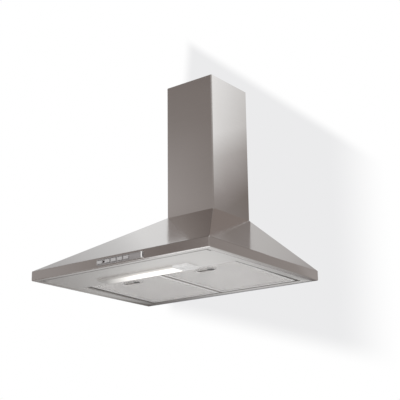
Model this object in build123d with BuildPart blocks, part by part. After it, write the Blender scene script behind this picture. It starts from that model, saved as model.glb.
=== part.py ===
from build123d import *
import math
import os

# A wall-mounted chimney range hood: a pyramid canopy of folded steel with two grease
# filters and a lamp in its underside, push buttons on its front rim, a blower inside,
# and a telescopic chimney cover above.
#
# Frame: X to the right, Y into the wall, Z up. The origin lies on the wall, at the
# middle of the hood's lower edge, so the whole hood lies at negative Y. Millimetres.

# ---------------------------------------------------------------- driving dimensions
hood_width = 598.0          # over the side rims
hood_depth = 485.0          # wall to front rim
rim_height = 26.0           # upright band round the canopy
canopy_rise = 179.0         # sloping part, from the rim to the chimney
chimney_width = 164.0
chimney_depth = 171.0
chimney_height = 400.0      # lower cover, above the canopy
sheet = 0.8                 # steel sheet of the canopy and the covers
fold_radius = 2.5           # outside radius of a fold
bottom_flange = 14.0        # rim sheet folded in under the hood
seat_gap = 0.3              # between pieces that lie side by side
lead_radius = 2.5           # internal electric leads

filter_width = 252.0
filter_length = 298.0
filter_thick = 10.0
filter_tilt = 1.15          # degrees, front edge higher
filter_setback = 27.0       # wall to the rear edge of the filters
filter_face_height = 1.0    # rear edge of the filter face, above the lower edge
filter_pair_gap = 1.0       # between the two filters
filter_side_gap = 4.5       # filter edge to the opening in the panel
filter_rear_gap = 3.0
filter_front_gap = 1.0

duct_radius = 60.0          # outlet for a 120 mm duct
lamp_length = 308.0
lamp_width = 54.0
lamp_depth = 6.0            # the cover stands this far below the panel
lamp_gap = 6.0              # lamp cover, in front of the filter opening
control_length = 153.0
control_height = 15.0
control_centre_x = 20.5
control_centre_z = 13.5
button_pitch = 21.0

# ---------------------------------------------------------------- shared values
canopy_top = rim_height + canopy_rise
side_run = (hood_width - chimney_width) / 2
side_slope = math.atan2(canopy_rise, side_run)
panel_top = 2 * sheet       # the underside panel lies on the bottom flange
AT_WALL = (Align.CENTER, Align.MAX)
UPWARD = (Align.CENTER, Align.CENTER, Align.MIN)
FORWARD = Plane.XZ          # sketches that grow from the wall towards the front
SIDEWAYS = Plane.YZ         # sketches that grow to the right

os.makedirs("parts", exist_ok=True)


def save(piece, name):
    """Label a finished piece and write it to its own STEP file."""
    piece.part.label = name
    export_step(piece.part, f"parts/{name}.step")


def front_plane(y):
    """A plane parallel to the wall at depth y, whose sketches grow towards the wall."""
    return Plane(origin=(0, y, 0), x_dir=(-1, 0, 0), z_dir=(0, 1, 0))


# ---------------------------------------------------------------- canopy shell
# One folded sheet: the rim, three sloping faces, a ledge under the chimney and a
# narrow flange below. Its back is open.
ledge = 9.0                 # flat strip left round the opening in the top
ledge_rear = 5.0
cutout_margin = 1.2         # control strip overlaps its cut-out by this much

with BuildPart() as canopy_shell:
    with BuildSketch():
        Rectangle(hood_width, hood_depth, align=AT_WALL)
    extrude(amount=rim_height)
    with BuildSketch(Plane.XY.offset(rim_height)):
        Rectangle(hood_width, hood_depth, align=AT_WALL)
    with BuildSketch(Plane.XY.offset(canopy_top)):
        Rectangle(chimney_width, chimney_depth, align=AT_WALL)
    loft(ruled=True)
    in_front = canopy_shell.edges().filter_by(lambda edge: edge.center().Y < -sheet)
    folds = in_front.filter_by(lambda edge: edge.center().Z < canopy_top - sheet)
    fillet(folds, radius=fold_radius)
    offset(amount=-sheet, openings=canopy_shell.faces().sort_by(Axis.Y)[-1])
    with BuildSketch():
        Rectangle(
            hood_width - 2 * bottom_flange, hood_depth - bottom_flange, align=AT_WALL
        )
    extrude(amount=sheet, mode=Mode.SUBTRACT)
    with BuildSketch(Plane.XY.offset(canopy_top)):
        with Locations((0, -ledge_rear)):
            Rectangle(
                chimney_width - 2 * ledge,
                chimney_depth - ledge - ledge_rear,
                align=AT_WALL,
            )
    extrude(amount=-sheet, mode=Mode.SUBTRACT)
    with BuildSketch(FORWARD.offset(hood_depth)):
        with Locations((control_centre_x, control_centre_z)):
            Rectangle(
                control_length - 2 * cutout_margin, control_height - 2 * cutout_margin
            )
    extrude(amount=-sheet, mode=Mode.SUBTRACT)
save(canopy_shell, "canopy_shell")

# ---------------------------------------------------------------- back panel
# Flat sheet that closes the canopy against the wall, with four holes for wall screws.
wall_hole_radius = 3.25
wall_hole_spacing_x = 260.0
wall_hole_spacing_z = 60.0
wall_hole_centre_z = 90.0
inset = sheet + seat_gap
rim_half = hood_width / 2 - inset
flange_edge = hood_width / 2 - bottom_flange - seat_gap
slope_start = rim_height - inset * (1 / math.sin(side_slope) - 1) * canopy_rise / side_run
back_top = canopy_top - inset
back_top_half = (
    chimney_width / 2 + inset * side_run / canopy_rise - inset / math.sin(side_slope)
)

with BuildPart() as back_panel:
    with BuildSketch(FORWARD):
        with BuildLine():
            Polyline(
                (0, 0),
                (flange_edge, 0),
                (flange_edge, inset),
                (rim_half - fold_radius, inset),
                (rim_half, inset + fold_radius),
                (rim_half, slope_start),
                (back_top_half, back_top),
                (0, back_top),
            )
            mirror(about=Plane.YZ)
        make_face()
        with Locations((0, wall_hole_centre_z)):
            with GridLocations(wall_hole_spacing_x, wall_hole_spacing_z, 2, 2):
                Circle(wall_hole_radius, mode=Mode.SUBTRACT)
    extrude(amount=sheet)
save(back_panel, "back_panel")

# ---------------------------------------------------------------- underside panel
# Lies on the bottom flange. The filter opening has an upturned collar with slots for
# the catches in front and gaps for the filter hooks behind.
collar_height = 18.0
panel_play = 0.2
panel_half = hood_width / 2 - fold_radius - panel_play
panel_front = hood_depth - fold_radius - panel_play
opening_half = filter_width + filter_pair_gap / 2 + filter_side_gap
opening_rear = filter_setback - filter_rear_gap
opening_length = filter_length + filter_rear_gap + filter_front_gap
opening_front = opening_rear + opening_length
lamp_centre_y = -(opening_front + lamp_gap + lamp_width / 2)
lamp_opening_length = lamp_length - 12.0
lamp_opening_width = lamp_width - 8.0
corner_slot_length = 16.0
corner_slot_width = 3.0
corner_slot_inset_x = 23.0
corner_slot_inset_y = 30.0
hook_width = 24.0
hook_offset = 80.0          # each side of the filter's middle
hook_reach = 14.0
hook_play = 1.0
catch_offset = 12.0         # catch, from the filter's middle
catch_width = 12.0
catch_low = 6.3             # catch tongue, above the filter face
catch_thick = 1.0
catch_clearance = 1.0
filter_centre = (filter_width + filter_pair_gap) / 2
tilt = math.radians(filter_tilt)
strike_z = filter_face_height + filter_length * math.sin(tilt) + catch_low + catch_thick / 2

with BuildPart() as underside_panel:
    with BuildSketch(Plane.XY.offset(sheet)):
        with Locations((0, -inset)):
            Rectangle(2 * panel_half, panel_front - inset, align=AT_WALL)
        with Locations((0, -opening_rear)):
            Rectangle(2 * opening_half, opening_length, align=AT_WALL, mode=Mode.SUBTRACT)
        with Locations((0, lamp_centre_y)):
            Rectangle(lamp_opening_length, lamp_opening_width, mode=Mode.SUBTRACT)
        for side in (-1, 1):
            slot_x = side * (hood_width / 2 - corner_slot_inset_x)
            with Locations(Location((slot_x, corner_slot_inset_y - hood_depth), 90)):
                SlotOverall(corner_slot_length, corner_slot_width, mode=Mode.SUBTRACT)
    extrude(amount=sheet)
    with BuildSketch(Plane.XY.offset(panel_top)):
        with Locations((0, sheet - opening_rear)):
            Rectangle(
                2 * (opening_half + sheet), opening_length + 2 * sheet, align=AT_WALL
            )
        with Locations((0, -opening_rear)):
            Rectangle(2 * opening_half, opening_length, align=AT_WALL, mode=Mode.SUBTRACT)
    extrude(amount=collar_height)
    for side in (-1, 1):
        for hook in (-1, 1):
            gap_x = side * filter_centre + hook * hook_offset
            with Locations((gap_x, sheet / 2 - opening_rear, panel_top)):
                Box(
                    hook_width + 2 * hook_play,
                    sheet,
                    collar_height,
                    align=UPWARD,
                    mode=Mode.SUBTRACT,
                )
        strike_x = side * filter_centre + catch_offset
        with Locations((strike_x, -opening_front - sheet / 2, strike_z)):
            Box(
                catch_width + 2 * catch_clearance,
                sheet,
                catch_thick + 2 * catch_clearance,
                mode=Mode.SUBTRACT,
            )
save(underside_panel, "underside_panel")

# ---------------------------------------------------------------- chimney covers
# Two U-shaped covers, open towards the wall with folded returns. The upper one slides
# inside the lower one and is drawn up to the ceiling when the hood is fitted.
chimney_return = 15.0
slide_gap = 0.7             # between the two covers
upper_rear = 1.5            # upper cover's returns, in front of the wall
upper_lift = 14.0           # upper cover's lower edge, above the canopy
upper_drop = 7.0            # upper cover's top, below the lower cover's top
vent_count = 6
vent_length = 60.0
vent_width = 5.0
vent_pitch = 11.0
vent_top = 40.0             # highest vent, below the top edge
chimney_top = canopy_top + chimney_height
upper_half = chimney_width / 2 - sheet - slide_gap
upper_front = chimney_depth - sheet - slide_gap
upper_bottom = canopy_top + upper_lift
upper_height = chimney_height - upper_lift - upper_drop


def cover_section(half, rear, front, wall_return):
    """Sketch the U section of a chimney cover, between two distances from the wall."""
    with Locations((0, -rear)):
        Rectangle(2 * half, front - rear, align=AT_WALL)
    with Locations((0, -rear - sheet)):
        Rectangle(
            2 * (half - sheet), front - rear - 2 * sheet, align=AT_WALL, mode=Mode.SUBTRACT
        )
    with Locations((0, -rear)):
        Rectangle(2 * (half - wall_return), sheet, align=AT_WALL, mode=Mode.SUBTRACT)


def round_front_folds(cover, half, front):
    """Round the two upright folds at the front of a cover, outside and inside."""
    upright = cover.edges().filter_by(Axis.Z)
    outside = upright.group_by(Axis.Y)[0]
    fillet(outside, radius=fold_radius)
    inner_y = -front + sheet
    inside = cover.edges().filter_by(Axis.Z).filter_by(
        lambda edge: abs(edge.center().Y - inner_y) < 0.01
        and abs(abs(edge.center().X) - half + sheet) < 0.01
    )
    fillet(inside, radius=fold_radius - sheet)


with BuildPart() as lower_chimney:
    with BuildSketch(Plane.XY.offset(canopy_top)):
        cover_section(chimney_width / 2, 0, chimney_depth, chimney_return)
    extrude(amount=chimney_height)
    round_front_folds(lower_chimney, chimney_width / 2, chimney_depth)
save(lower_chimney, "lower_chimney")

vent_middle_z = (
    upper_bottom + upper_height - vent_top - (vent_count - 1) * vent_pitch / 2
)
with BuildPart() as upper_chimney:
    with BuildSketch(Plane.XY.offset(upper_bottom)):
        cover_section(upper_half, upper_rear, upper_front, chimney_return)
    extrude(amount=upper_height)
    round_front_folds(upper_chimney, upper_half, upper_front)
    with BuildSketch(SIDEWAYS):
        with Locations((-upper_front / 2, vent_middle_z)):
            with GridLocations(0, vent_pitch, 1, vent_count):
                SlotOverall(vent_length, vent_width)
    extrude(amount=upper_half, both=True, mode=Mode.SUBTRACT)
save(upper_chimney, "upper_chimney")

# Bracket that holds the top of the upper cover to the wall.
bracket_height = 20.0
bracket_below_top = 8.0
bracket_half = 58.0
bracket_hole_radius = 2.75
bracket_hole_spacing = 80.0
bracket_thick = 1.2
bracket_tab = 28.0
return_front = upper_rear + sheet
wing_front = return_front + seat_gap + bracket_thick
bracket_bottom = upper_bottom + upper_height - bracket_below_top - bracket_height
bracket_reach = upper_half - sheet

with BuildPart() as chimney_bracket:
    with BuildSketch(Plane.XY.offset(bracket_bottom)):
        Rectangle(2 * bracket_half, bracket_thick, align=AT_WALL)
        for side in (-1, 1):
            with Locations((side * (bracket_half - bracket_thick / 2), 0)):
                Rectangle(bracket_thick, wing_front, align=AT_WALL)
            with Locations((side * (bracket_half + bracket_reach) / 2, bracket_thick - wing_front)):
                Rectangle(bracket_reach - bracket_half, bracket_thick, align=AT_WALL)
            with Locations((side * (bracket_reach - bracket_thick / 2), bracket_thick - wing_front)):
                Rectangle(bracket_thick, bracket_tab, align=AT_WALL)
    extrude(amount=bracket_height)
    with BuildSketch(FORWARD):
        with Locations((0, bracket_bottom + bracket_height / 2)):
            with GridLocations(bracket_hole_spacing, 0, 2, 1):
                Circle(bracket_hole_radius)
    extrude(amount=bracket_thick, mode=Mode.SUBTRACT)
save(chimney_bracket, "chimney_bracket")

# ---------------------------------------------------------------- blower plate
# Lies on the canopy's ledge inside the chimney, carries the blower below and the duct
# outlet above. Its upturned edge centres the chimney cover.
plate_thick = 1.2
plate_edge = 12.0
plate_half = chimney_width / 2 - sheet - seat_gap
plate_front = chimney_depth - sheet - seat_gap
plate_rear = inset
plate_top = canopy_top + plate_thick
casing_half = 60.0          # blower casing, half its width
casing_wall = 2.0
outlet_setback = 13.0       # wall to the casing
tongue_y = -111.0           # front wall of the casing's outlet
throat_margin = 2.0         # plate edge, inside the casing's walls
throat_half = casing_half - casing_wall - throat_margin
throat_rear = outlet_setback + casing_wall + throat_margin
throat_front = -tongue_y - casing_wall - throat_margin
screw_radius = 2.0
screw_head_radius = 3.2
screw_head_height = 2.2
screw_play = 0.15
screw_hole_radius = screw_radius + screw_play
casing_flange = 10.0        # flange by which the casing hangs from the plate
casing_flange_thick = 2.0
casing_screw_offset = 6.0   # out from the casing's side
casing_screw_y = (-40.0, -90.0)
casing_screw_reach = 4.0    # end of the shank, below the flange
plate_screw_inset = 5.7     # in from the chimney's side
plate_screw_y = (-30.0, -140.0)
casing_screw_x = casing_half + casing_screw_offset
casing_screws = [(side * casing_screw_x, y) for side in (-1, 1) for y in casing_screw_y]
plate_screw_x = chimney_width / 2 - plate_screw_inset
plate_screws_at = [(side * plate_screw_x, y) for side in (-1, 1) for y in plate_screw_y]
gland_at = (40.0, -146.0)
gland_radius = 8.0

with BuildPart() as blower_plate:
    with BuildSketch(Plane.XY.offset(canopy_top)):
        with Locations((0, -plate_rear)):
            Rectangle(2 * plate_half, plate_front - plate_rear, align=AT_WALL)
        with Locations((0, -throat_rear)):
            Rectangle(
                2 * throat_half, throat_front - throat_rear, align=AT_WALL, mode=Mode.SUBTRACT
            )
        with Locations(casing_screws + plate_screws_at):
            Circle(screw_hole_radius, mode=Mode.SUBTRACT)
        with Locations(gland_at):
            Circle(gland_radius, mode=Mode.SUBTRACT)
    extrude(amount=plate_thick)
    with BuildSketch(Plane.XY.offset(plate_top)):
        with Locations((0, -plate_rear)):
            Rectangle(2 * plate_half, plate_front - plate_rear, align=AT_WALL)
            Rectangle(
                2 * (plate_half - sheet),
                plate_front - plate_rear - sheet,
                align=AT_WALL,
                mode=Mode.SUBTRACT,
            )
    extrude(amount=plate_edge - plate_thick)
    corners = blower_plate.edges().filter_by(Axis.Z).group_by(Axis.Y)[0]
    fillet(corners, radius=fold_radius)
save(blower_plate, "blower_plate")

# The canopy's ledge takes the same screws as the plate.
with BuildPart() as plate_screws:
    with Locations([(x, y, plate_top) for x, y in plate_screws_at]):
        Cylinder(screw_head_radius, screw_head_height, align=UPWARD)
    with Locations([(x, y, plate_top) for x, y in plate_screws_at]):
        Cylinder(screw_radius, plate_thick, align=(Align.CENTER, Align.CENTER, Align.MAX))
save(plate_screws, "plate_screws")

# Bushing for the mains cable, clipped into the plate.
gland_lip = 3.0
gland_lip_thick = 2.0
gland_bore = 4.0
gland_play = 0.1
with BuildPart() as cable_gland:
    with Locations((*gland_at, plate_top)):
        Cylinder(gland_radius + gland_lip, gland_lip_thick, align=UPWARD)
    with Locations((*gland_at, canopy_top - gland_lip_thick)):
        Cylinder(gland_radius + gland_lip, gland_lip_thick, align=UPWARD)
    with Locations((*gland_at, canopy_top)):
        Cylinder(gland_radius - gland_play, plate_thick, align=UPWARD)
    with Locations((*gland_at, canopy_top - gland_lip_thick)):
        Cylinder(
            gland_bore, plate_thick + 2 * gland_lip_thick, align=UPWARD, mode=Mode.SUBTRACT
        )
save(cable_gland, "cable_gland")

# ---------------------------------------------------------------- duct outlet
# A shallow box over the blower's throat with a round spigot for the duct. Two half
# discs on a spindle in the spigot close by their own weight when the blower stops.
duct_centre_y = -72.0
duct_wall = 1.6
plenum_height = 15.0
spigot_height = 34.0
plenum_margin = 2.0
spindle_radius = 2.0
spindle_rise = 10.0         # above the plenum
spindle_play = 0.1
flap_thick = 1.0
flap_gap = 0.8              # flap edge to the spigot
flap_root = 4.6             # flap plate starts this far from the spindle
knuckle_radius = 4.0
knuckle_width = 16.0
knuckle_pitch = 20.0
plenum_half = duct_radius + plenum_margin
plenum_top = plate_top + plenum_height
spigot_bore = duct_radius - duct_wall
spindle_z = plenum_top + spindle_rise
spindle_half = spigot_bore + duct_wall / 2

with BuildPart() as outlet_collar:
    with Locations((0, duct_centre_y, plate_top)):
        Box(2 * plenum_half, 2 * plenum_half, plenum_height, align=UPWARD)
        Box(
            2 * (plenum_half - duct_wall),
            2 * (plenum_half - duct_wall),
            plenum_height - duct_wall,
            align=UPWARD,
            mode=Mode.SUBTRACT,
        )
    with Locations((0, duct_centre_y, plenum_top)):
        Cylinder(duct_radius, spigot_height, align=UPWARD)
    with Locations((0, duct_centre_y, plenum_top - duct_wall)):
        Cylinder(
            spigot_bore, spigot_height + duct_wall, align=UPWARD, mode=Mode.SUBTRACT
        )
    with BuildSketch(SIDEWAYS):
        with Locations((duct_centre_y, spindle_z)):
            Circle(spindle_radius)
    extrude(amount=spindle_half, both=True, mode=Mode.SUBTRACT)
save(outlet_collar, "outlet_collar")

with BuildPart() as damper_spindle:
    with BuildSketch(SIDEWAYS):
        with Locations((duct_centre_y, spindle_z)):
            Circle(spindle_radius)
    extrude(amount=spindle_half, both=True)
save(damper_spindle, "damper_spindle")

for name, way, first in (("front", -1, -2.5), ("rear", 1, -1.5)):
    knuckles = [(first + 2 * step) * knuckle_pitch for step in range(3)]
    with BuildPart() as flap:
        with BuildSketch(Plane.XY.offset(spindle_z - flap_thick / 2)):
            with Locations((0, duct_centre_y)):
                Circle(spigot_bore - flap_gap)
                Rectangle(2 * duct_radius, 2 * flap_root, mode=Mode.SUBTRACT)
            with Locations((0, duct_centre_y - way * duct_radius)):
                Rectangle(2 * duct_radius, 2 * duct_radius, mode=Mode.SUBTRACT)
        extrude(amount=flap_thick)
        for knuckle in knuckles:
            with BuildSketch(SIDEWAYS.offset(knuckle)):
                with Locations((duct_centre_y, spindle_z)):
                    Circle(knuckle_radius)
                with Locations((duct_centre_y + way * flap_root / 2, spindle_z)):
                    Rectangle(flap_root + 2 * flap_thick, flap_thick)
                with Locations((duct_centre_y, spindle_z)):
                    Circle(spindle_radius + spindle_play, mode=Mode.SUBTRACT)
            extrude(amount=knuckle_width / 2, both=True)
    save(flap, f"damper_flap_{name}")

# ---------------------------------------------------------------- blower casing
# A spiral casing in two halves, with the shaft along X. Three quarter arcs, each
# larger than the last, wind round the impeller up to the outlet at the rear.
shaft_y = -112.0
shaft_z = 116.0
spiral_growth = 10.0        # radius gained in each quarter turn
spiral_radius = 74.0        # first quarter, outside
inlet_radius = 48.0
half_growth = spiral_growth / 2
front_arc_centre = (shaft_y - half_growth, shaft_z - half_growth)
lower_arc_centre = (shaft_y + half_growth, shaft_z - half_growth)
rear_arc_centre = (shaft_y + half_growth, shaft_z + half_growth)
tongue_z = front_arc_centre[1] + spiral_radius


def casing_section(wall, top):
    """Face of the spiral casing, drawn in by the wall, with its outlet cut at the top."""
    with BuildLine() as outline:
        front = CenterArc(front_arc_centre, spiral_radius - wall, 90, 90)
        CenterArc(lower_arc_centre, spiral_radius + spiral_growth - wall, 180, 90)
        rear = CenterArc(
            rear_arc_centre, spiral_radius + 2 * spiral_growth - wall, 270, 90
        )
        Polyline(
            rear @ 1,
            ((rear @ 1).X, top),
            (tongue_y + wall, top),
            (tongue_y + wall, tongue_z - wall),
            front @ 0,
        )
    return make_face(outline.edges(), mode=Mode.PRIVATE)


for name, side in (("left", -1), ("right", 1)):
    with BuildPart() as casing:
        with BuildSketch(SIDEWAYS):
            add(casing_section(0, canopy_top))
        extrude(amount=side * casing_half)
        with BuildSketch(SIDEWAYS):
            add(casing_section(casing_wall, canopy_top))
        extrude(amount=side * (casing_half - casing_wall), mode=Mode.SUBTRACT)
        with BuildSketch(SIDEWAYS.offset(side * casing_half)):
            with Locations((shaft_y, shaft_z)):
                Circle(inlet_radius)
        extrude(amount=-side * casing_wall, mode=Mode.SUBTRACT)
        with BuildSketch(Plane.XY.offset(canopy_top)):
            with Locations((side * (casing_half + casing_flange / 2), -outlet_setback)):
                Rectangle(
                    casing_flange, -tongue_y - outlet_setback, align=AT_WALL
                )
        extrude(amount=-casing_flange_thick)
        own_screws = [(x, y) for x, y in casing_screws if x * side > 0]
        with BuildSketch(Plane.XY.offset(canopy_top)):
            with Locations(own_screws):
                Circle(screw_hole_radius)
        extrude(amount=-casing_flange_thick, mode=Mode.SUBTRACT)
    save(casing, f"casing_{name}")

with BuildPart() as casing_fixings:
    with Locations([(x, y, plate_top) for x, y in casing_screws]):
        Cylinder(screw_head_radius, screw_head_height, align=UPWARD)
    with Locations([(x, y, plate_top) for x, y in casing_screws]):
        Cylinder(
            screw_radius,
            plate_thick + casing_flange_thick + casing_screw_reach,
            align=(Align.CENTER, Align.CENTER, Align.MAX),
        )
save(casing_fixings, "casing_screws")

# ---------------------------------------------------------------- impeller and motor
impeller_radius = 65.0
blade_count = 32
blade_length = 11.0
blade_thick = 1.0
blade_angle = 25.0          # blades lean forward
impeller_half = 50.0
hoop_width = 2.0
disc_thick = 2.0
hub_radius = 10.0
hub_left = -6.0
hub_right = 14.0
shaft_radius = 4.0
motor_radius = 36.0
motor_left = -78.0
motor_right = -8.0
shaft_right = 20.0
blade_centre = impeller_radius - blade_length / 2

with BuildPart() as impeller:
    with BuildSketch(SIDEWAYS.offset(-impeller_half)):
        with Locations((shaft_y, shaft_z)):
            with PolarLocations(blade_centre, blade_count):
                Rectangle(blade_length, blade_thick, rotation=blade_angle)
    extrude(amount=2 * impeller_half)
    for hoop_x in (-impeller_half, impeller_half - hoop_width):
        with BuildSketch(SIDEWAYS.offset(hoop_x)):
            with Locations((shaft_y, shaft_z)):
                Circle(impeller_radius)
                Circle(impeller_radius - blade_length, mode=Mode.SUBTRACT)
        extrude(amount=hoop_width)
    with BuildSketch(SIDEWAYS.offset(-disc_thick / 2)):
        with Locations((shaft_y, shaft_z)):
            Circle(impeller_radius)
    extrude(amount=disc_thick)
    with BuildSketch(SIDEWAYS.offset(hub_left)):
        with Locations((shaft_y, shaft_z)):
            Circle(hub_radius)
    extrude(amount=hub_right - hub_left)
    with BuildSketch(SIDEWAYS.offset(hub_left)):
        with Locations((shaft_y, shaft_z)):
            Circle(shaft_radius)
    extrude(amount=hub_right - hub_left, mode=Mode.SUBTRACT)
save(impeller, "impeller")

shaft_play = 0.05
bearing_depth = 50.0        # the shaft's length inside the motor
with BuildPart() as motor_shaft:
    with BuildSketch(SIDEWAYS.offset(motor_right - bearing_depth)):
        with Locations((shaft_y, shaft_z)):
            Circle(shaft_radius)
    extrude(amount=shaft_right - motor_right + bearing_depth)
save(motor_shaft, "motor_shaft")

motor_chamfer = 5.0
rear_boss_radius = 13.0
rear_boss_length = 6.0
with BuildPart() as motor_case:
    with BuildSketch(SIDEWAYS.offset(motor_left)):
        with Locations((shaft_y, shaft_z)):
            Circle(motor_radius)
    extrude(amount=motor_right - motor_left)
    chamfer(motor_case.edges().filter_by(GeomType.CIRCLE), length=motor_chamfer)
    with BuildSketch(SIDEWAYS.offset(motor_left)):
        with Locations((shaft_y, shaft_z)):
            Circle(rear_boss_radius)
    extrude(amount=-rear_boss_length)
    with BuildSketch(SIDEWAYS.offset(motor_right)):
        with Locations((shaft_y, shaft_z)):
            Circle(shaft_radius + shaft_play)
    extrude(amount=-bearing_depth - seat_gap, mode=Mode.SUBTRACT)
save(motor_case, "motor_case")

# Spider that carries the motor in the left inlet, on rubber grommets.
arm_count = 3
arm_width = 12.0
arm_thick = 2.0
band_wall = 3.0
band_width = 12.0
grommet_radius = 8.0
grommet_thick = 3.0
grommet_circle = inlet_radius + 8.0
arm_plane_x = -casing_half - grommet_thick
with BuildPart() as motor_mount:
    with BuildSketch(SIDEWAYS.offset(arm_plane_x)):
        with Locations((shaft_y, shaft_z)):
            Circle(motor_radius + band_wall)
            with PolarLocations(grommet_circle / 2 + motor_radius / 2, arm_count, 90):
                Rectangle(grommet_circle - motor_radius + arm_width, arm_width)
            Circle(motor_radius, mode=Mode.SUBTRACT)
            with PolarLocations(grommet_circle, arm_count, 90):
                Circle(screw_hole_radius, mode=Mode.SUBTRACT)
    extrude(amount=-arm_thick)
    with BuildSketch(SIDEWAYS.offset(arm_plane_x)):
        with Locations((shaft_y, shaft_z)):
            Circle(motor_radius + band_wall)
            Circle(motor_radius, mode=Mode.SUBTRACT)
    extrude(amount=-band_width)
save(motor_mount, "motor_mount")

with BuildPart() as motor_grommets:
    with BuildSketch(SIDEWAYS.offset(-casing_half)):
        with Locations((shaft_y, shaft_z)):
            with PolarLocations(grommet_circle, arm_count, 90):
                Circle(grommet_radius)
            with PolarLocations(grommet_circle, arm_count, 90):
                Circle(screw_hole_radius, mode=Mode.SUBTRACT)
    extrude(amount=-grommet_thick)
save(motor_grommets, "motor_grommets")

with BuildPart() as motor_fixings:
    with BuildSketch(SIDEWAYS.offset(arm_plane_x - arm_thick)):
        with Locations((shaft_y, shaft_z)):
            with PolarLocations(grommet_circle, arm_count, 90):
                Circle(screw_head_radius)
    extrude(amount=-screw_head_height)
    with BuildSketch(SIDEWAYS.offset(arm_plane_x - arm_thick)):
        with Locations((shaft_y, shaft_z)):
            with PolarLocations(grommet_circle, arm_count, 90):
                Circle(screw_radius)
    extrude(amount=arm_thick + grommet_thick)
save(motor_fixings, "motor_screws")

# Grille in the right inlet.
guard_thick = 1.6
guard_bar = 3.0
guard_rings = (33.0, 18.0)
with BuildPart() as inlet_guard:
    with BuildSketch(SIDEWAYS.offset(casing_half)):
        with Locations((shaft_y, shaft_z)):
            Circle(inlet_radius + guard_bar)
            Circle(inlet_radius - guard_bar, mode=Mode.SUBTRACT)
            for ring in guard_rings:
                with BuildSketch(mode=Mode.PRIVATE) as hoop:
                    Circle(ring)
                    Circle(ring - guard_bar, mode=Mode.SUBTRACT)
                add(hoop.sketch)
            Rectangle(2 * inlet_radius, guard_bar)
            Rectangle(guard_bar, 2 * inlet_radius)
    extrude(amount=guard_thick)
save(inlet_guard, "inlet_guard")

# ---------------------------------------------------------------- wiring on the back panel
box_width = 65.0
box_height = 50.0
box_depth = 30.0
box_wall = 2.0
box_from_side = 117.0       # the hood's side to the box's middle
box_bottom = 32.0
lid_thick = 2.0
box_back = sheet            # the box lies on the panel's inner face
box_centre_x = box_from_side - hood_width / 2
box_middle_z = box_bottom + box_height / 2
box_left = box_centre_x - box_width / 2
box_top = box_bottom + box_height
terminal_count = 6
terminal_pitch = 8.0
terminal_height = 16.0
terminal_depth = 12.0
lead_y = -box_back - box_wall - terminal_depth / 2
lead_offset_z = 4.5         # the two side leads, above and below the block's middle
lamp_lead_z = box_middle_z + lead_offset_z
switch_lead_z = box_middle_z - lead_offset_z

with BuildPart() as junction_box:
    with BuildSketch(FORWARD.offset(box_back)):
        with Locations((box_centre_x, box_middle_z)):
            Rectangle(box_width, box_height)
    extrude(amount=box_depth)
    with BuildSketch(FORWARD.offset(box_back + box_wall)):
        with Locations((box_centre_x, box_middle_z)):
            Rectangle(box_width - 2 * box_wall, box_height - 2 * box_wall)
    extrude(amount=box_depth - box_wall, mode=Mode.SUBTRACT)
    with BuildSketch(SIDEWAYS.offset(box_left)):
        with Locations((lead_y, lamp_lead_z), (lead_y, switch_lead_z)):
            Circle(lead_radius)
    extrude(amount=box_wall, mode=Mode.SUBTRACT)
    with BuildSketch(Plane.XY.offset(box_top)):
        with Locations((box_centre_x, lead_y)):
            Circle(lead_radius)
    extrude(amount=-box_wall, mode=Mode.SUBTRACT)
save(junction_box, "junction_box")

with BuildPart() as junction_lid:
    with BuildSketch(FORWARD.offset(box_back + box_depth)):
        with Locations((box_centre_x, box_middle_z)):
            RectangleRounded(box_width, box_height, fold_radius)
    extrude(amount=lid_thick)
save(junction_lid, "junction_lid")

with BuildPart() as terminal_block:
    with BuildSketch(FORWARD.offset(box_back + box_wall)):
        with Locations((box_centre_x, box_middle_z)):
            Rectangle(terminal_count * terminal_pitch, terminal_height)
    extrude(amount=terminal_depth)
    with BuildSketch(FORWARD.offset(box_back + box_wall + terminal_depth)):
        with Locations((box_centre_x, box_middle_z)):
            with GridLocations(terminal_pitch, terminal_height / 2, terminal_count, 2):
                Circle(terminal_pitch / 4)
    extrude(amount=-terminal_depth / 2, mode=Mode.SUBTRACT)
save(terminal_block, "terminal_block")

capacitor_radius = 15.0
capacitor_length = 60.0
capacitor_from_side = 121.0
capacitor_z = 60.0
clip_thick = 1.2
clip_width = 16.0
clip_ear = 10.0
capacitor_chamfer = 1.0
capacitor_x = hood_width / 2 - capacitor_from_side
capacitor_y = -sheet - clip_thick - capacitor_radius
with BuildPart() as capacitor:
    with BuildSketch(SIDEWAYS.offset(capacitor_x - capacitor_length / 2)):
        with Locations((capacitor_y, capacitor_z)):
            Circle(capacitor_radius)
    extrude(amount=capacitor_length)
    chamfer(capacitor.edges().filter_by(GeomType.CIRCLE), length=capacitor_chamfer)
save(capacitor, "capacitor")

with BuildPart() as capacitor_clip:
    with BuildSketch(SIDEWAYS.offset(capacitor_x - clip_width / 2)):
        with Locations((capacitor_y, capacitor_z)):
            Circle(capacitor_radius + clip_thick)
        with Locations((-sheet - clip_thick / 2, capacitor_z)):
            Rectangle(clip_thick, 2 * (capacitor_radius + clip_ear))
        with Locations((capacitor_y, capacitor_z)):
            Circle(capacitor_radius, mode=Mode.SUBTRACT)
    extrude(amount=clip_width)
save(capacitor_clip, "capacitor_clip")

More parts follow.
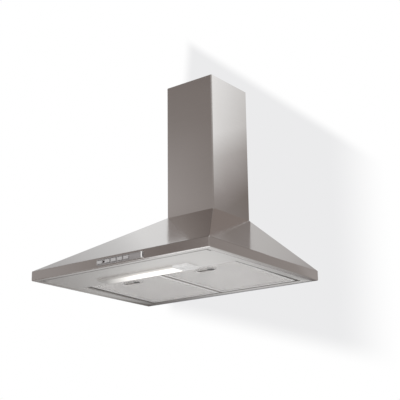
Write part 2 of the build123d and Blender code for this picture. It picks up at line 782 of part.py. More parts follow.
# ---------------------------------------------------------------- lamp
# Two candle bulbs lie end to end in a sheet tray above a long opal cover. The cover's
# right end is a separate grey grip with two ribs.
tray_wall = 0.8
tray_height = 40.0
tray_lip = 6.0
tray_margin = 2.0           # round the lamp opening
tray_half = lamp_opening_length / 2 + tray_margin
tray_width = lamp_opening_width + 2 * tray_margin
bulb_z = panel_top + tray_height / 2
with BuildPart() as lamp_tray:
    with BuildSketch(Plane.XY.offset(panel_top)):
        with Locations((0, lamp_centre_y)):
            Rectangle(2 * tray_half, tray_width)
    extrude(amount=tray_height)
    with BuildSketch(Plane.XY.offset(panel_top)):
        with Locations((0, lamp_centre_y)):
            Rectangle(2 * (tray_half + tray_lip), tray_width)
    extrude(amount=tray_wall)
    with BuildSketch(Plane.XY.offset(panel_top)):
        with Locations((0, lamp_centre_y)):
            Rectangle(2 * (tray_half - tray_wall), tray_width - 2 * tray_wall)
    extrude(amount=tray_height - tray_wall, mode=Mode.SUBTRACT)
    with BuildSketch(SIDEWAYS.offset(-tray_half)):
        with Locations((lamp_centre_y, bulb_z)):
            Circle(lead_radius)
    extrude(amount=tray_wall, mode=Mode.SUBTRACT)
save(lamp_tray, "lamp_tray")

holder_length = 28.0
holder_radius = 13.0
cap_radius = 7.0
cap_length = 20.0
cap_gap = 0.2
bulb_radius = 16.0
bulb_length = 88.0
bulb_collar = 2.0           # metal cap, past the holder's face
holder_inner_x = tray_half - tray_wall - holder_length
for name, side in (("left", -1), ("right", 1)):
    with BuildPart() as lamp_holder:
        with BuildSketch(SIDEWAYS.offset(side * holder_inner_x)):
            with Locations((lamp_centre_y, bulb_z)):
                Circle(holder_radius)
        extrude(amount=side * holder_length)
        with BuildSketch(SIDEWAYS.offset(side * holder_inner_x)):
            with Locations((lamp_centre_y, bulb_z)):
                Circle(cap_radius + cap_gap)
        extrude(amount=side * (cap_length + cap_gap), mode=Mode.SUBTRACT)
    save(lamp_holder, f"lamp_holder_{name}")

    # The bulb's outline, from its tip to its screw cap, is turned about its own axis.
    axis_plane = Plane(
        origin=(side * holder_inner_x, lamp_centre_y, bulb_z),
        x_dir=(-side, 0, 0),
        z_dir=(0, -1, 0),
    )
    with BuildPart() as lamp_bulb:
        with BuildSketch(axis_plane):
            with BuildLine():
                neck = Line((-cap_length, 0), (-cap_length, cap_radius))
                cap = Line(neck @ 1, (bulb_collar, cap_radius))
                glass = Spline(
                    cap @ 1,
                    (bulb_length * 0.18, bulb_radius * 0.72),
                    (bulb_length * 0.38, bulb_radius),
                    (bulb_length * 0.74, bulb_radius * 0.7),
                    (bulb_length, 0),
                )
                Line(glass @ 1, neck @ 0)
            make_face()
        revolve(axis=Axis(axis_plane.origin, axis_plane.x_dir))
    save(lamp_bulb, f"lamp_bulb_{name}")

cover_wall = 1.8
cover_draft = 5.0           # the sides lean in by this much over the depth
grip_length = 46.0
grip_gap = 0.3
grip_rib_height = 1.0
grip_rib_width = 3.0
clip_leg = 7.0
cover_edge = 2.0            # radius of the cover's lower edges
cover_left = -lamp_length / 2
cover_right = lamp_length / 2 - grip_length
cover_length = cover_right - cover_left
cover_middle = (cover_left + cover_right) / 2
cover_bottom = sheet - lamp_depth
with BuildPart() as lamp_cover:
    with BuildSketch(Plane.XY.offset(sheet)):
        with Locations((cover_middle, lamp_centre_y)):
            Rectangle(cover_length, lamp_width)
    with BuildSketch(Plane.XY.offset(cover_bottom)):
        with Locations((cover_middle + cover_draft / 2, lamp_centre_y)):
            Rectangle(cover_length - cover_draft, lamp_width - 2 * cover_draft)
    loft(ruled=True)
    slanted = lamp_cover.edges().filter_by(lambda edge: edge.center().X < cover_right - 1)
    fillet(slanted.filter_by(lambda edge: edge.center().Z < sheet - 1), radius=cover_edge)
    with BuildSketch(Plane.XY.offset(sheet)):
        with Locations((cover_middle, lamp_centre_y)):
            Rectangle(cover_length - 2 * cover_wall, lamp_width - 2 * cover_wall)
    with BuildSketch(Plane.XY.offset(cover_bottom + cover_wall)):
        with Locations((cover_middle + cover_draft / 2, lamp_centre_y)):
            Rectangle(
                cover_length - cover_draft - 2 * cover_wall,
                lamp_width - 2 * cover_draft - 2 * cover_wall,
            )
    loft(ruled=True, mode=Mode.SUBTRACT)
    leg_y = lamp_opening_width / 2 - seat_gap - cover_wall / 2
    with BuildSketch(Plane.XY.offset(sheet)):
        with Locations((cover_middle, lamp_centre_y)):
            with GridLocations(cover_length / 2, 2 * leg_y, 2, 2):
                Rectangle(clip_leg, cover_wall)
    extrude(amount=clip_leg)
    with BuildSketch(Plane.XY.offset(sheet)):
        with Locations((cover_middle, lamp_centre_y)):
            with GridLocations(cover_length / 2, 2 * leg_y, 2, 2):
                Rectangle(clip_leg, cover_wall)
    extrude(amount=-lamp_depth / 2)
save(lamp_cover, "lamp_cover")

grip_left = cover_right + grip_gap
grip_right = lamp_length / 2
grip_middle = (grip_left + grip_right) / 2
with BuildPart() as lamp_grip:
    with BuildSketch(Plane.XY.offset(sheet)):
        with Locations((grip_middle, lamp_centre_y)):
            Rectangle(grip_right - grip_left, lamp_width)
    with BuildSketch(Plane.XY.offset(cover_bottom)):
        with Locations((grip_middle - cover_draft / 2, lamp_centre_y)):
            Rectangle(grip_right - grip_left - cover_draft, lamp_width - 2 * cover_draft)
    loft(ruled=True)
    sloping = lamp_grip.edges().filter_by(lambda edge: edge.center().X > grip_left + 1)
    fillet(sloping.filter_by(lambda edge: edge.center().Z < sheet - 1), radius=cover_edge)
    with BuildSketch(Plane.XY.offset(sheet)):
        with Locations((grip_middle, lamp_centre_y)):
            with GridLocations(0, 2 * leg_y, 1, 2):
                Rectangle(clip_leg, cover_wall)
    extrude(amount=clip_leg)
    with BuildSketch(Plane.XY.offset(cover_bottom)):
        with Locations((grip_middle, lamp_centre_y)):
            with GridLocations(grip_length / 3, 0, 2, 1):
                Rectangle(grip_rib_width, lamp_width / 2)
    extrude(amount=-grip_rib_height, taper=20)
save(lamp_grip, "lamp_grip")

# ---------------------------------------------------------------- controls
# A strip on the front rim with a wide lamp button, a pilot light and four fan buttons.
strip_thick = 2.0
strip_rail = 1.2
strip_rail_height = 1.0
strip_end = 4.5
strip_end_height = 1.6
strip_corner = 1.0
button_width = 16.0
lamp_button_width = 18.0
button_height = 8.5
button_play = 0.35
button_stand = 2.4          # caps stand out of the strip by this much
button_travel = 2.0
button_back = 6.0           # cap, behind the strip's front
button_edge = 0.8           # radius of the cap's front edges
first_button_x = -18.5
lamp_button_x = -45.0
pilot_x = -31.2
pilot_radius = 2.4
pilot_play = 0.1
pilot_stand = 0.6
stem_size = 4.0
stem_length = 9.0
switch_depth = 14.0
switch_height = 17.0
post_width = 5.0            # legs that carry the switch block
rim_front = -hood_depth
strip_front = rim_front - strip_thick
button_names = ("lamp", "stop", "speed_1", "speed_2", "speed_3")
button_centres = [lamp_button_x] + [
    first_button_x + button_pitch * step for step in range(4)
]
button_widths = [lamp_button_width] + [button_width] * 4
cap_rear = strip_front + button_back
switch_front = cap_rear + button_travel + seat_gap
post_gap = 0.5              # between a leg and the cap beside it
switch_left = lamp_button_x - lamp_button_width / 2 - post_gap - post_width
switch_right = button_centres[-1] + button_width / 2 + post_gap + post_width
switch_middle = (switch_left + switch_right) / 2
strip_left = control_centre_x - control_length / 2
strip_right = control_centre_x + control_length / 2

with BuildPart() as control_strip:
    with BuildSketch(FORWARD.offset(hood_depth)):
        with Locations((control_centre_x, control_centre_z)):
            RectangleRounded(control_length, control_height, strip_corner)
        for centre, width in zip(button_centres, button_widths):
            with Locations((centre, control_centre_z)):
                Rectangle(
                    width + 2 * button_play,
                    button_height + 2 * button_play,
                    mode=Mode.SUBTRACT,
                )
        with Locations((pilot_x, control_centre_z)):
            Circle(pilot_radius + pilot_play, mode=Mode.SUBTRACT)
    extrude(amount=strip_thick)
    rail_z = control_height / 2 - strip_rail / 2
    with BuildSketch(FORWARD.offset(hood_depth + strip_thick)):
        with Locations((control_centre_x, control_centre_z)):
            with GridLocations(0, 2 * rail_z, 1, 2):
                Rectangle(control_length - 2 * strip_corner, strip_rail)
    extrude(amount=strip_rail_height)
    with BuildSketch(FORWARD.offset(hood_depth + strip_thick)):
        with Locations((strip_right - strip_end / 2, control_centre_z)):
            RectangleRounded(strip_end, control_height, strip_corner)
    extrude(amount=strip_end_height)
save(control_strip, "control_strip")

for name, centre, width in zip(button_names, button_centres, button_widths):
    with BuildPart() as button:
        with BuildSketch(front_plane(strip_front - button_stand)):
            with Locations((-centre, control_centre_z)):
                Rectangle(width, button_height)
        extrude(amount=button_stand + button_back)
        front_edges = button.faces().sort_by(Axis.Y)[0].edges()
        fillet(front_edges, radius=button_edge)
        with BuildSketch(front_plane(cap_rear)):
            with Locations((-centre, control_centre_z)):
                Rectangle(stem_size, stem_size)
        extrude(amount=stem_length)
    save(button, f"button_{name}")

with BuildPart() as pilot_light:
    with BuildSketch(front_plane(strip_front - pilot_stand)):
        with Locations((-pilot_x, control_centre_z)):
            Circle(pilot_radius)
    extrude(amount=switch_front - strip_front + pilot_stand - seat_gap)
save(pilot_light, "pilot_light")

with BuildPart() as switch_block:
    with BuildSketch(front_plane(switch_front)):
        with Locations((-switch_middle, control_centre_z)):
            Rectangle(switch_right - switch_left, switch_height)
    extrude(amount=switch_depth)
    for post_x in (switch_left + post_width / 2, switch_right - post_width / 2):
        with BuildSketch(front_plane(rim_front + sheet)):
            with Locations((-post_x, control_centre_z)):
                Rectangle(post_width, switch_height)
        extrude(amount=switch_front - rim_front - sheet)
    for centre, width in zip(button_centres, button_widths):
        with BuildSketch(front_plane(switch_front)):
            with Locations((-centre, control_centre_z)):
                Rectangle(stem_size + 2 * button_play, stem_size + 2 * button_play)
        extrude(amount=stem_length, mode=Mode.SUBTRACT)
save(switch_block, "switch_block")

# ---------------------------------------------------------------- grease filters
# Each filter is a stepped aluminium frame round two mesh faces and a mesh pack. Hooks
# at its rear lie on the panel, and a sliding catch in its handle holds the front.
filter_step = 3.0           # outer edge lies this far above the face
filter_step_inset = 5.0
filter_lip = 0.8
cavity_inset = 7.0
window_inset = 12.0
mesh_thick = 0.6
mesh_pitch = 20.0
mesh_strand = 2.2
hook_thick = 1.7
handle_length = 56.0
handle_width = 20.0
handle_wall = 1.5
handle_lip = 2.0
handle_depth = 5.0
handle_from_front = 55.0    # handle's middle to the filter's front edge
handle_hole_radius = 4.5
handle_hole_offset = -16.0
knob_length = 16.0
knob_width = 8.0
knob_corner = 2.0
catch_travel = 5.0
stem_across = 5.0
stem_along = 4.0
stem_play = 0.5
tongue_inset = 0.6          # tongue's end, inside the filter's front edge at rest
cavity_width = filter_width - 2 * cavity_inset
cavity_length = filter_length - 2 * cavity_inset
window_width = filter_width - 2 * window_inset
window_length = filter_length - 2 * window_inset
filter_middle = -filter_length / 2
handle_setback = filter_length - handle_from_front
mesh_across = 2 * int((cavity_width - mesh_pitch) / (2 * mesh_pitch)) + 1
mesh_along = 2 * int((cavity_length - mesh_pitch) / (2 * mesh_pitch)) + 1
handle_floor = handle_depth + 1.0
knob_rest = catch_travel / 2 - handle_setback
diamond = (mesh_pitch - mesh_strand * math.sqrt(2)) / math.sqrt(2)
catch_play = 0.4

# The mesh pack is one folded sheet, whose folds run across the filter.
pack_folds = 20
pack_sheet = 0.8            # upright thickness of the folded sheet
pack_play = 0.5             # round the pack
pack_gap = 0.1              # between the pack and the mesh faces
pack_width = cavity_width - 2 * pack_play
pack_low = filter_lip + mesh_thick + pack_gap
pack_high = filter_thick - filter_lip - mesh_thick - pack_gap
pack_step = (cavity_length - 2 * pack_play) / (2 * pack_folds)
pack_start = -cavity_inset - pack_play
pack_crests = [
    (pack_start - step * pack_step, pack_high if step % 2 else pack_low + pack_sheet)
    for step in range(2 * pack_folds + 1)
]
pack_outline = pack_crests + [(y, z - pack_sheet) for y, z in reversed(pack_crests)]

for name, side in (("left", -1), ("right", 1)):
    seat = Plane(
        origin=(side * filter_centre, -filter_setback, filter_face_height),
        x_dir=(1, 0, 0),
        z_dir=(0, math.sin(tilt), math.cos(tilt)),
    )
    seat_side = Plane(
        origin=seat.origin, x_dir=(0, math.cos(tilt), -math.sin(tilt)), z_dir=(1, 0, 0)
    )
    handle_spot = (0, -handle_setback)
    middle = (0, filter_middle)

    with BuildPart() as filter_frame:
        with BuildSketch(seat.offset(filter_step)):
            Rectangle(filter_width, filter_length, align=AT_WALL)
        extrude(amount=filter_thick - filter_step)
        with BuildSketch(seat):
            with Locations(middle):
                Rectangle(
                    filter_width - 2 * filter_step_inset,
                    filter_length - 2 * filter_step_inset,
                )
        extrude(amount=filter_step)
        with BuildSketch(seat.offset(filter_lip)):
            with Locations(middle):
                Rectangle(cavity_width, cavity_length)
        extrude(amount=filter_thick - 2 * filter_lip, mode=Mode.SUBTRACT)
        with BuildSketch(seat):
            with Locations(middle):
                Rectangle(window_width, window_length)
        extrude(amount=filter_thick, mode=Mode.SUBTRACT)
        with BuildSketch(seat.offset(catch_low - catch_play)):
            with Locations((catch_offset, -filter_length)):
                Rectangle(
                    catch_width + 4 * catch_play,
                    cavity_inset,
                    align=(Align.CENTER, Align.MIN),
                )
        extrude(amount=catch_thick + 2 * catch_play, mode=Mode.SUBTRACT)
        with BuildSketch(seat.offset(filter_step - hook_thick)):
            with Locations((-hook_offset, hook_reach), (hook_offset, hook_reach)):
                Rectangle(hook_width, hook_reach + filter_step_inset, align=AT_WALL)
        extrude(amount=hook_thick)
    save(filter_frame, f"filter_frame_{name}")

    with BuildPart() as filter_mesh:
        for level in (filter_lip, filter_thick - filter_lip - mesh_thick):
            with BuildSketch(seat.offset(level)):
                with Locations(middle):
                    Rectangle(cavity_width - 2 * seat_gap, cavity_length - 2 * seat_gap)
                    with GridLocations(mesh_pitch, mesh_pitch, mesh_across, mesh_along):
                        Rectangle(diamond, diamond, rotation=45, mode=Mode.SUBTRACT)
                    with GridLocations(
                        mesh_pitch, mesh_pitch, mesh_across - 1, mesh_along - 1
                    ):
                        Rectangle(diamond, diamond, rotation=45, mode=Mode.SUBTRACT)
                if level == filter_lip:
                    with Locations(handle_spot):
                        SlotOverall(
                            handle_length + 4 * handle_lip, handle_width + 4 * handle_lip
                        )
                        SlotOverall(
                            handle_length + 2 * seat_gap,
                            handle_width + 2 * seat_gap,
                            mode=Mode.SUBTRACT,
                        )
            extrude(amount=mesh_thick)
    save(filter_mesh, f"filter_mesh_{name}")

    with BuildPart() as filter_pack:
        with BuildSketch(seat_side.offset(-pack_width / 2)):
            with BuildLine():
                Polyline(*pack_outline, close=True)
            make_face()
        extrude(amount=pack_width)
        with BuildSketch(seat.offset(filter_lip)):
            with Locations(handle_spot):
                SlotOverall(handle_length + 2 * pack_play, handle_width + 2 * pack_play)
        extrude(amount=handle_floor + seat_gap - filter_lip, mode=Mode.SUBTRACT)
        with BuildSketch(seat.offset(catch_low - catch_play)):
            with Locations((catch_offset, -filter_length)):
                Rectangle(
                    catch_width + 4 * catch_play,
                    filter_length - handle_setback + 2 * stem_along,
                    align=(Align.CENTER, Align.MIN),
                )
        extrude(amount=catch_thick + 2 * catch_play, mode=Mode.SUBTRACT)
    save(filter_pack, f"filter_pack_{name}")

    with BuildPart() as filter_handle:
        with BuildSketch(seat):
            with Locations(handle_spot):
                SlotOverall(handle_length + 2 * handle_lip, handle_width + 2 * handle_lip)
        extrude(amount=filter_lip)
        with BuildSketch(seat):
            with Locations(handle_spot):
                SlotOverall(handle_length, handle_width)
        extrude(amount=handle_floor)
        with BuildSketch(seat):
            with Locations(handle_spot):
                SlotOverall(handle_length - 2 * handle_wall, handle_width - 2 * handle_wall)
        extrude(amount=handle_depth, mode=Mode.SUBTRACT)
        with BuildSketch(seat):
            with Locations((handle_hole_offset, -handle_setback)):
                Circle(handle_hole_radius)
            with Locations((catch_offset, -handle_setback)):
                Rectangle(
                    stem_across + 2 * stem_play, stem_along + catch_travel + 2 * stem_play
                )
        extrude(amount=handle_floor, mode=Mode.SUBTRACT)
    save(filter_handle, f"filter_handle_{name}")

    with BuildPart() as filter_catch:
        with BuildSketch(seat.offset(filter_lip)):
            with Locations((catch_offset, knob_rest)):
                RectangleRounded(knob_length, knob_width, knob_corner)
        extrude(amount=handle_depth - seat_gap - filter_lip)
        with BuildSketch(seat.offset(handle_depth - seat_gap)):
            with Locations((catch_offset, knob_rest)):
                Rectangle(stem_across, stem_along)
        extrude(amount=catch_low - handle_depth + seat_gap)
        with BuildSketch(seat.offset(catch_low)):
            with Locations((catch_offset, knob_rest + stem_along)):
                Rectangle(
                    catch_width,
                    filter_length + knob_rest + stem_along - tongue_inset,
                    align=AT_WALL,
                )
        extrude(amount=catch_thick)
    save(filter_catch, f"filter_catch_{name}")

# ---------------------------------------------------------------- internal leads
# Each lead leaves the junction box and is clipped along the canopy to what it feeds. The
# two leads for the front run side by side under the fold of the rim.
lead_gap = 0.5
lead_sway = 1.5
lead_share = 0.45           # of the shorter run beside a bend, taken by the bend
lead_run_z = panel_top + collar_height + lead_gap + lead_radius
outer_run_x = sheet + lead_gap + lead_sway + lead_radius - hood_width / 2
inner_run_x = outer_run_x + 2 * lead_radius + 2 * lead_sway + lead_gap
terminal_left = box_centre_x - terminal_count * terminal_pitch / 2
motor_lead_y = shaft_y + 14.0
motor_lead_z = shaft_z + 18.0
motor_turn_x = motor_left - 26.0
switch_lead_y = switch_front + switch_depth / 2
tray_left = -tray_half
front_side_x = -hood_width / 2


def forward_run(x, rear_y, front_y, count):
    """Points of a lead that runs forward under the rim's fold and sways a little."""
    step_y = (front_y - rear_y) / (count - 1)
    return [
        (x + lead_sway * (-1) ** step, rear_y + step_y * step, lead_run_z)
        for step in range(count)
    ]


def towards_motor(share):
    """X of a point that lies this share of the way from the box to the motor."""
    return box_centre_x + share * (motor_turn_x - box_centre_x)


def lead(route, name):
    """Sweep one lead along a route, its bends as wide as the runs beside them allow."""
    points = [Vector(*point) for point in route]
    radii = []
    for before, corner, after in zip(points, points[1:], points[2:]):
        turn = math.radians((corner - before).get_angle(after - corner))
        shorter = min((corner - before).length, (after - corner).length)
        radii.append(lead_share * shorter / math.tan(turn / 2))
    print(name, "bend radii", [round(radius, 1) for radius in radii])
    with BuildPart() as cable:
        with BuildLine() as path:
            FilletPolyline(*points, radius=radii)
        with BuildSketch(Plane(origin=path.line @ 0, z_dir=path.line % 0)):
            Circle(lead_radius)
        sweep(path=path.line)
    length = sum(edge.length for edge in path.edges())
    filled = cable.part.volume / (math.pi * lead_radius**2 * length)
    print(name, "length", round(length), "volume over section times length", round(filled, 4))
    save(cable, name)


lead(
    [
        (box_centre_x, lead_y, box_middle_z + terminal_height / 2),
        (box_centre_x, lead_y, box_top + 14),
        (towards_motor(0.16), -26, box_top + 28),
        (towards_motor(0.44), -56, box_top + 42),
        (towards_motor(0.74), -84, motor_lead_z - 1),
        (motor_turn_x, motor_lead_y, motor_lead_z),
        (motor_left, motor_lead_y, motor_lead_z),
    ],
    "motor_lead",
)
lead(
    [
        (terminal_left, lead_y, lamp_lead_z),
        (box_left - 13, lead_y, lamp_lead_z),
        (box_left - 40, -32, lead_run_z + 20),
        (inner_run_x + 8, -64, lead_run_z + 4),
        *forward_run(inner_run_x, -110, lamp_centre_y + 21, 5),
        (tray_left - 100, lamp_centre_y + 5, lead_run_z),
        (tray_left - 42, lamp_centre_y, bulb_z),
        (tray_wall - tray_half, lamp_centre_y, bulb_z),
    ],
    "lamp_lead",
)
lead(
    [
        (terminal_left, lead_y, switch_lead_z),
        (box_left - 20, lead_y, switch_lead_z),
        (box_left - 52, -20, lead_run_z + 9),
        (outer_run_x + 5, -50, lead_run_z + 2),
        *forward_run(outer_run_x, -98, 84 - hood_depth, 6),
        (front_side_x + 24, 42 - hood_depth, lead_run_z - 1),
        (front_side_x + 62, 18 - hood_depth, lead_run_z - 3),
        (switch_left - 125, 14 - hood_depth, lead_run_z - 5),
        (switch_left - 74, 18 - hood_depth, control_centre_z + 2),
        (switch_left - 33, switch_lead_y, control_centre_z),
        (switch_left, switch_lead_y, control_centre_z),
    ],
    "switch_lead",
)
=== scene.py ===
# %% [markdown]
# # A chimney range hood
# The hood is a folded steel canopy with two grease filters and a lamp in its underside,
# a strip of push buttons on its front rim, and a tall steel chimney cover above. The
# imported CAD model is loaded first. It fixes every size and place, so this script only
# adds finishes, fine detail, light and a camera.

# %% Load the frame
import math

import bmesh
import bpy
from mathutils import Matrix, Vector


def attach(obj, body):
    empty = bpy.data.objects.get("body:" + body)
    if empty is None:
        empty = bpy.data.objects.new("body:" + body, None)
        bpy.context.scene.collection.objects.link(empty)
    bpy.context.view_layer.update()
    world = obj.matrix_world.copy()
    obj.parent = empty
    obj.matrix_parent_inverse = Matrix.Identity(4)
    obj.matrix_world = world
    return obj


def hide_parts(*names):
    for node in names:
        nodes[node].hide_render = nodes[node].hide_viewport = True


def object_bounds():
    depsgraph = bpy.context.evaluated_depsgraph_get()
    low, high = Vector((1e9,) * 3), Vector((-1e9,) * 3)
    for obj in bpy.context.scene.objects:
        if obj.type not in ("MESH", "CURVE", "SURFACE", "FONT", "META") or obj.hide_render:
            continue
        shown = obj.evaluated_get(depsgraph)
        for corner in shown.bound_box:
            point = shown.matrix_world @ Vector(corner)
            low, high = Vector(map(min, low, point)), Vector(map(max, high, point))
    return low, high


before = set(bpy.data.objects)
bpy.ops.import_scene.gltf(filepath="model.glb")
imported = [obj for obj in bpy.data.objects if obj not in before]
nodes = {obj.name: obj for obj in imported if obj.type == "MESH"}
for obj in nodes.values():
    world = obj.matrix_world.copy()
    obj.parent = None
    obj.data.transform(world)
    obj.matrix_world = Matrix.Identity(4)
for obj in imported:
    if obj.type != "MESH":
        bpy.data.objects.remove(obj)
cad_low, cad_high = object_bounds()
scene = bpy.context.scene
MM = 0.001
print("CAD nodes", len(nodes), "box", tuple(cad_low), tuple(cad_high))

# %% [markdown]
# ## Camera
# The hood hangs above eye level in the photograph, and is seen from the right and from
# below through a fairly long lens. The place and the lens come from a fit of the hood's
# corners to the photograph. A small sideways shift keeps the picture's framing.

# %% Camera
camera_azimuth = math.radians(-39.71)
camera_elevation = math.radians(16.87)
camera_place = (1.571, -2.1946, -0.533)
lens_mm = 85.6
sideways_shift = 0.10
camera_data = bpy.data.cameras.new("photo_camera")
camera_data.sensor_width = 36.0
camera_data.lens = lens_mm
camera_data.shift_x = sideways_shift
camera_data.clip_end = 100.0
camera = bpy.data.objects.new("photo_camera", camera_data)
scene.collection.objects.link(camera)
looking = Vector((
    math.sin(camera_azimuth) * math.cos(camera_elevation),
    math.cos(camera_azimuth) * math.cos(camera_elevation),
    math.sin(camera_elevation),
))
camera.location = camera_place
camera.rotation_euler = looking.to_track_quat("-Z", "Y").to_euler()
scene.camera = camera
scene.view_settings.view_transform = "Standard"
print("the camera looks along", tuple(round(value, 3) for value in looking))

# %% [markdown]
# ## Helpers for materials
# Colours are written as the hex values that a paint program shows, and one function
# turns them to the linear values that Blender computes with. Another function adds a
# node to any node tree, sets it up and links it, so that each tree below reads as a
# list. Sockets that share a name are given by number: a Mix node has its factor at 0,
# vectors at 4 and 5 and colours at 6 and 7. A Map Range has the limits of what comes in
# at 1 and 2, and of what goes out at 3 and 4.

# %% Helpers
def linear(hex_colour):
    """Linear RGBA from an sRGB hex string."""
    channels = [int(hex_colour[i:i + 2], 16) / 255 for i in (1, 3, 5)]
    return tuple(
        c / 12.92 if c <= 0.04045 else ((c + 0.055) / 1.055) ** 2.4 for c in channels
    ) + (1.0,)


def add(tree, kind, inputs=None, **settings):
    """Add a node, apply its settings, and set or link each of its inputs."""
    made = tree.nodes.new(kind)
    for name, value in settings.items():
        setattr(made, name, value)
    for name, value in (inputs or {}).items():
        socket = made.inputs[name]
        if isinstance(value, bpy.types.NodeSocket):
            tree.links.new(value, socket)
        else:
            socket.default_value = value
    return made


def new_material(name):
    """An empty material and its node tree."""
    material = bpy.data.materials.new(name)
    material.use_nodes = True
    material.node_tree.nodes.clear()
    return material, material.node_tree


def close_material(tree, surface):
    """Link a surface shader to the material's output."""
    add(tree, "ShaderNodeOutputMaterial", {"Surface": surface.outputs[0]})


def paint(material, *names):
    """Give CAD nodes a material."""
    for name in names:
        nodes[name].data.materials.clear()
        nodes[name].data.materials.append(material)
    print(material.name, "on", ", ".join(names))


def new_object(name, mesh):
    """A new object for a mesh, in the scene."""
    made = bpy.data.objects.new(name, mesh)
    scene.collection.objects.link(made)
    return made


# %% [markdown]
# ## Brushed stainless steel
# The canopy and the chimney are 0.8 mm stainless sheet, brushed along its length. The
# grain is a tenth of a millimetre wide, too fine to show here, so it is drawn about a
# millimetre wide. Grain makes the metal glossier along it than across it, which is
# what the anisotropic setting does. The grain is level on every face, as it is on the
# real sheet, so its direction follows the way that the face points. The tangent lies
# along the grain, and a quarter turn spreads the highlight across it.

# %% Brushed steel
quarter_turn = 0.25


def brushed_steel(name, colour, roughness, anisotropy, grain_mm=1.2, slenderness=60,
                  contrast=0.03, gloss_spread=0.2):
    """Steel with level grain; its tone and gloss vary by contrast and gloss_spread."""
    material, tree = new_material(name)
    place = add(tree, "ShaderNodeTexCoord")
    facing = add(tree, "ShaderNodeSeparateXYZ", {0: place.outputs["Normal"]})
    along_x = add(tree, "ShaderNodeMath", {0: facing.outputs["X"]}, operation="ABSOLUTE")
    along_y = add(tree, "ShaderNodeMath", {0: facing.outputs["Y"]}, operation="ABSOLUTE")
    on_side = add(
        tree, "ShaderNodeMath", {0: along_x.outputs[0], 1: along_y.outputs[0]},
        operation="GREATER_THAN",
    )
    fine = 1 / (grain_mm * MM)
    long = fine / slenderness
    front_grain = add(
        tree, "ShaderNodeVectorMath",
        {0: place.outputs["Object"], 1: (long, fine, fine)}, operation="MULTIPLY",
    )
    side_grain = add(
        tree, "ShaderNodeVectorMath",
        {0: place.outputs["Object"], 1: (fine, long, fine)}, operation="MULTIPLY",
    )
    grain_place = add(
        tree, "ShaderNodeMix",
        {0: on_side.outputs[0], 4: front_grain.outputs[0], 5: side_grain.outputs[0]},
        data_type="VECTOR",
    )
    grain = add(
        tree, "ShaderNodeTexNoise",
        {"Vector": grain_place.outputs[1], "Scale": 1.0, "Detail": 3.0},
    )
    tone = add(
        tree, "ShaderNodeMapRange",
        {0: grain.outputs[0], 3: 1.0 - contrast, 4: 1.0 + contrast},
    )
    shade = add(
        tree, "ShaderNodeMix", {0: 1.0, 6: linear(colour), 7: tone.outputs[0]},
        data_type="RGBA", blend_type="MULTIPLY",
    )
    gloss = add(
        tree, "ShaderNodeMapRange",
        {
            0: grain.outputs[0],
            3: roughness * (1 - gloss_spread), 4: roughness * (1 + gloss_spread),
        },
    )
    bump = add(
        tree, "ShaderNodeBump",
        {"Height": grain.outputs[0], "Strength": 0.03, "Distance": 0.1 * MM},
    )
    level = add(
        tree, "ShaderNodeVectorMath",
        {0: place.outputs["Normal"], 1: (0.0, 0.0, 1.0)}, operation="CROSS_PRODUCT",
    )
    # A level face has no level direction of its own, and takes X by this small lean.
    tangent = add(
        tree, "ShaderNodeVectorMath", {0: level.outputs[0], 1: (0.001, 0.0, 0.0)},
        operation="ADD",
    )
    close_material(tree, add(
        tree, "ShaderNodeBsdfPrincipled",
        {
            "Base Color": shade.outputs[2], "Metallic": 1.0, "Roughness": gloss.outputs[0],
            "Anisotropic": anisotropy, "Anisotropic Rotation": quarter_turn,
            "Normal": bump.outputs[0], "Tangent": tangent.outputs[0],
        },
    ))
    return material


stainless = brushed_steel("brushed_stainless", "#E8E5E3", 0.10, 0.5)
paint(stainless, "canopy_shell", "lower_chimney", "upper_chimney")
satin = brushed_steel("satin_stainless", "#E2E0DE", 0.3, 0.3)

# %% [markdown]
# ## Plain finishes
# The other pieces are moulded plastic, coated or rolled metal. Each has a faint
# unevenness in tone, gloss and height at the scale of its own making: a fine sparkle
# in moulded plastic, rolling marks in aluminium, a soft cloudiness in rubber. Two
# noises make it, one fine and one coarse, whose sum seldom leaves the limits here.

# %% A plain finish
clouds_per_metre = 18.0
noise_sum_low, noise_sum_high = 0.6, 1.4


def plain_finish(name, colour, roughness, metallic=0.0, speck_mm=0.6, stretch=(1, 1, 1),
                 contrast=0.05, gloss_spread=0.15, height_mm=0.02):
    """A surface of one colour with a fine unevenness in tone, gloss and height."""
    material, tree = new_material(name)
    place = add(tree, "ShaderNodeTexCoord")
    scaled = add(
        tree, "ShaderNodeVectorMath",
        {0: place.outputs["Object"], 1: tuple(s / (speck_mm * MM) for s in stretch)},
        operation="MULTIPLY",
    )
    speck = add(
        tree, "ShaderNodeTexNoise",
        {"Vector": scaled.outputs[0], "Scale": 1.0, "Detail": 2.0},
    )
    cloud = add(
        tree, "ShaderNodeTexNoise",
        {"Vector": place.outputs["Object"], "Scale": clouds_per_metre, "Detail": 3.0},
    )
    mixed = add(
        tree, "ShaderNodeMath", {0: speck.outputs[0], 1: cloud.outputs[0]}, operation="ADD",
    )
    shade_range = add(
        tree, "ShaderNodeMapRange",
        {
            0: mixed.outputs[0], 1: noise_sum_low, 2: noise_sum_high,
            3: 1.0 - contrast, 4: 1.0 + contrast,
        },
    )
    shade = add(
        tree, "ShaderNodeMix", {0: 1.0, 6: linear(colour), 7: shade_range.outputs[0]},
        data_type="RGBA", blend_type="MULTIPLY",
    )
    gloss = add(
        tree, "ShaderNodeMapRange",
        {
            0: cloud.outputs[0], 3: roughness * (1 - gloss_spread),
            4: min(1.0, roughness * (1 + gloss_spread)),
        },
    )
    bump = add(
        tree, "ShaderNodeBump",
        {"Height": speck.outputs[0], "Strength": 0.3, "Distance": height_mm * MM},
    )
    close_material(tree, add(
        tree, "ShaderNodeBsdfPrincipled",
        {
            "Base Color": shade.outputs[2], "Metallic": metallic,
            "Roughness": gloss.outputs[0], "Normal": bump.outputs[0],
        },
    ))
    return material


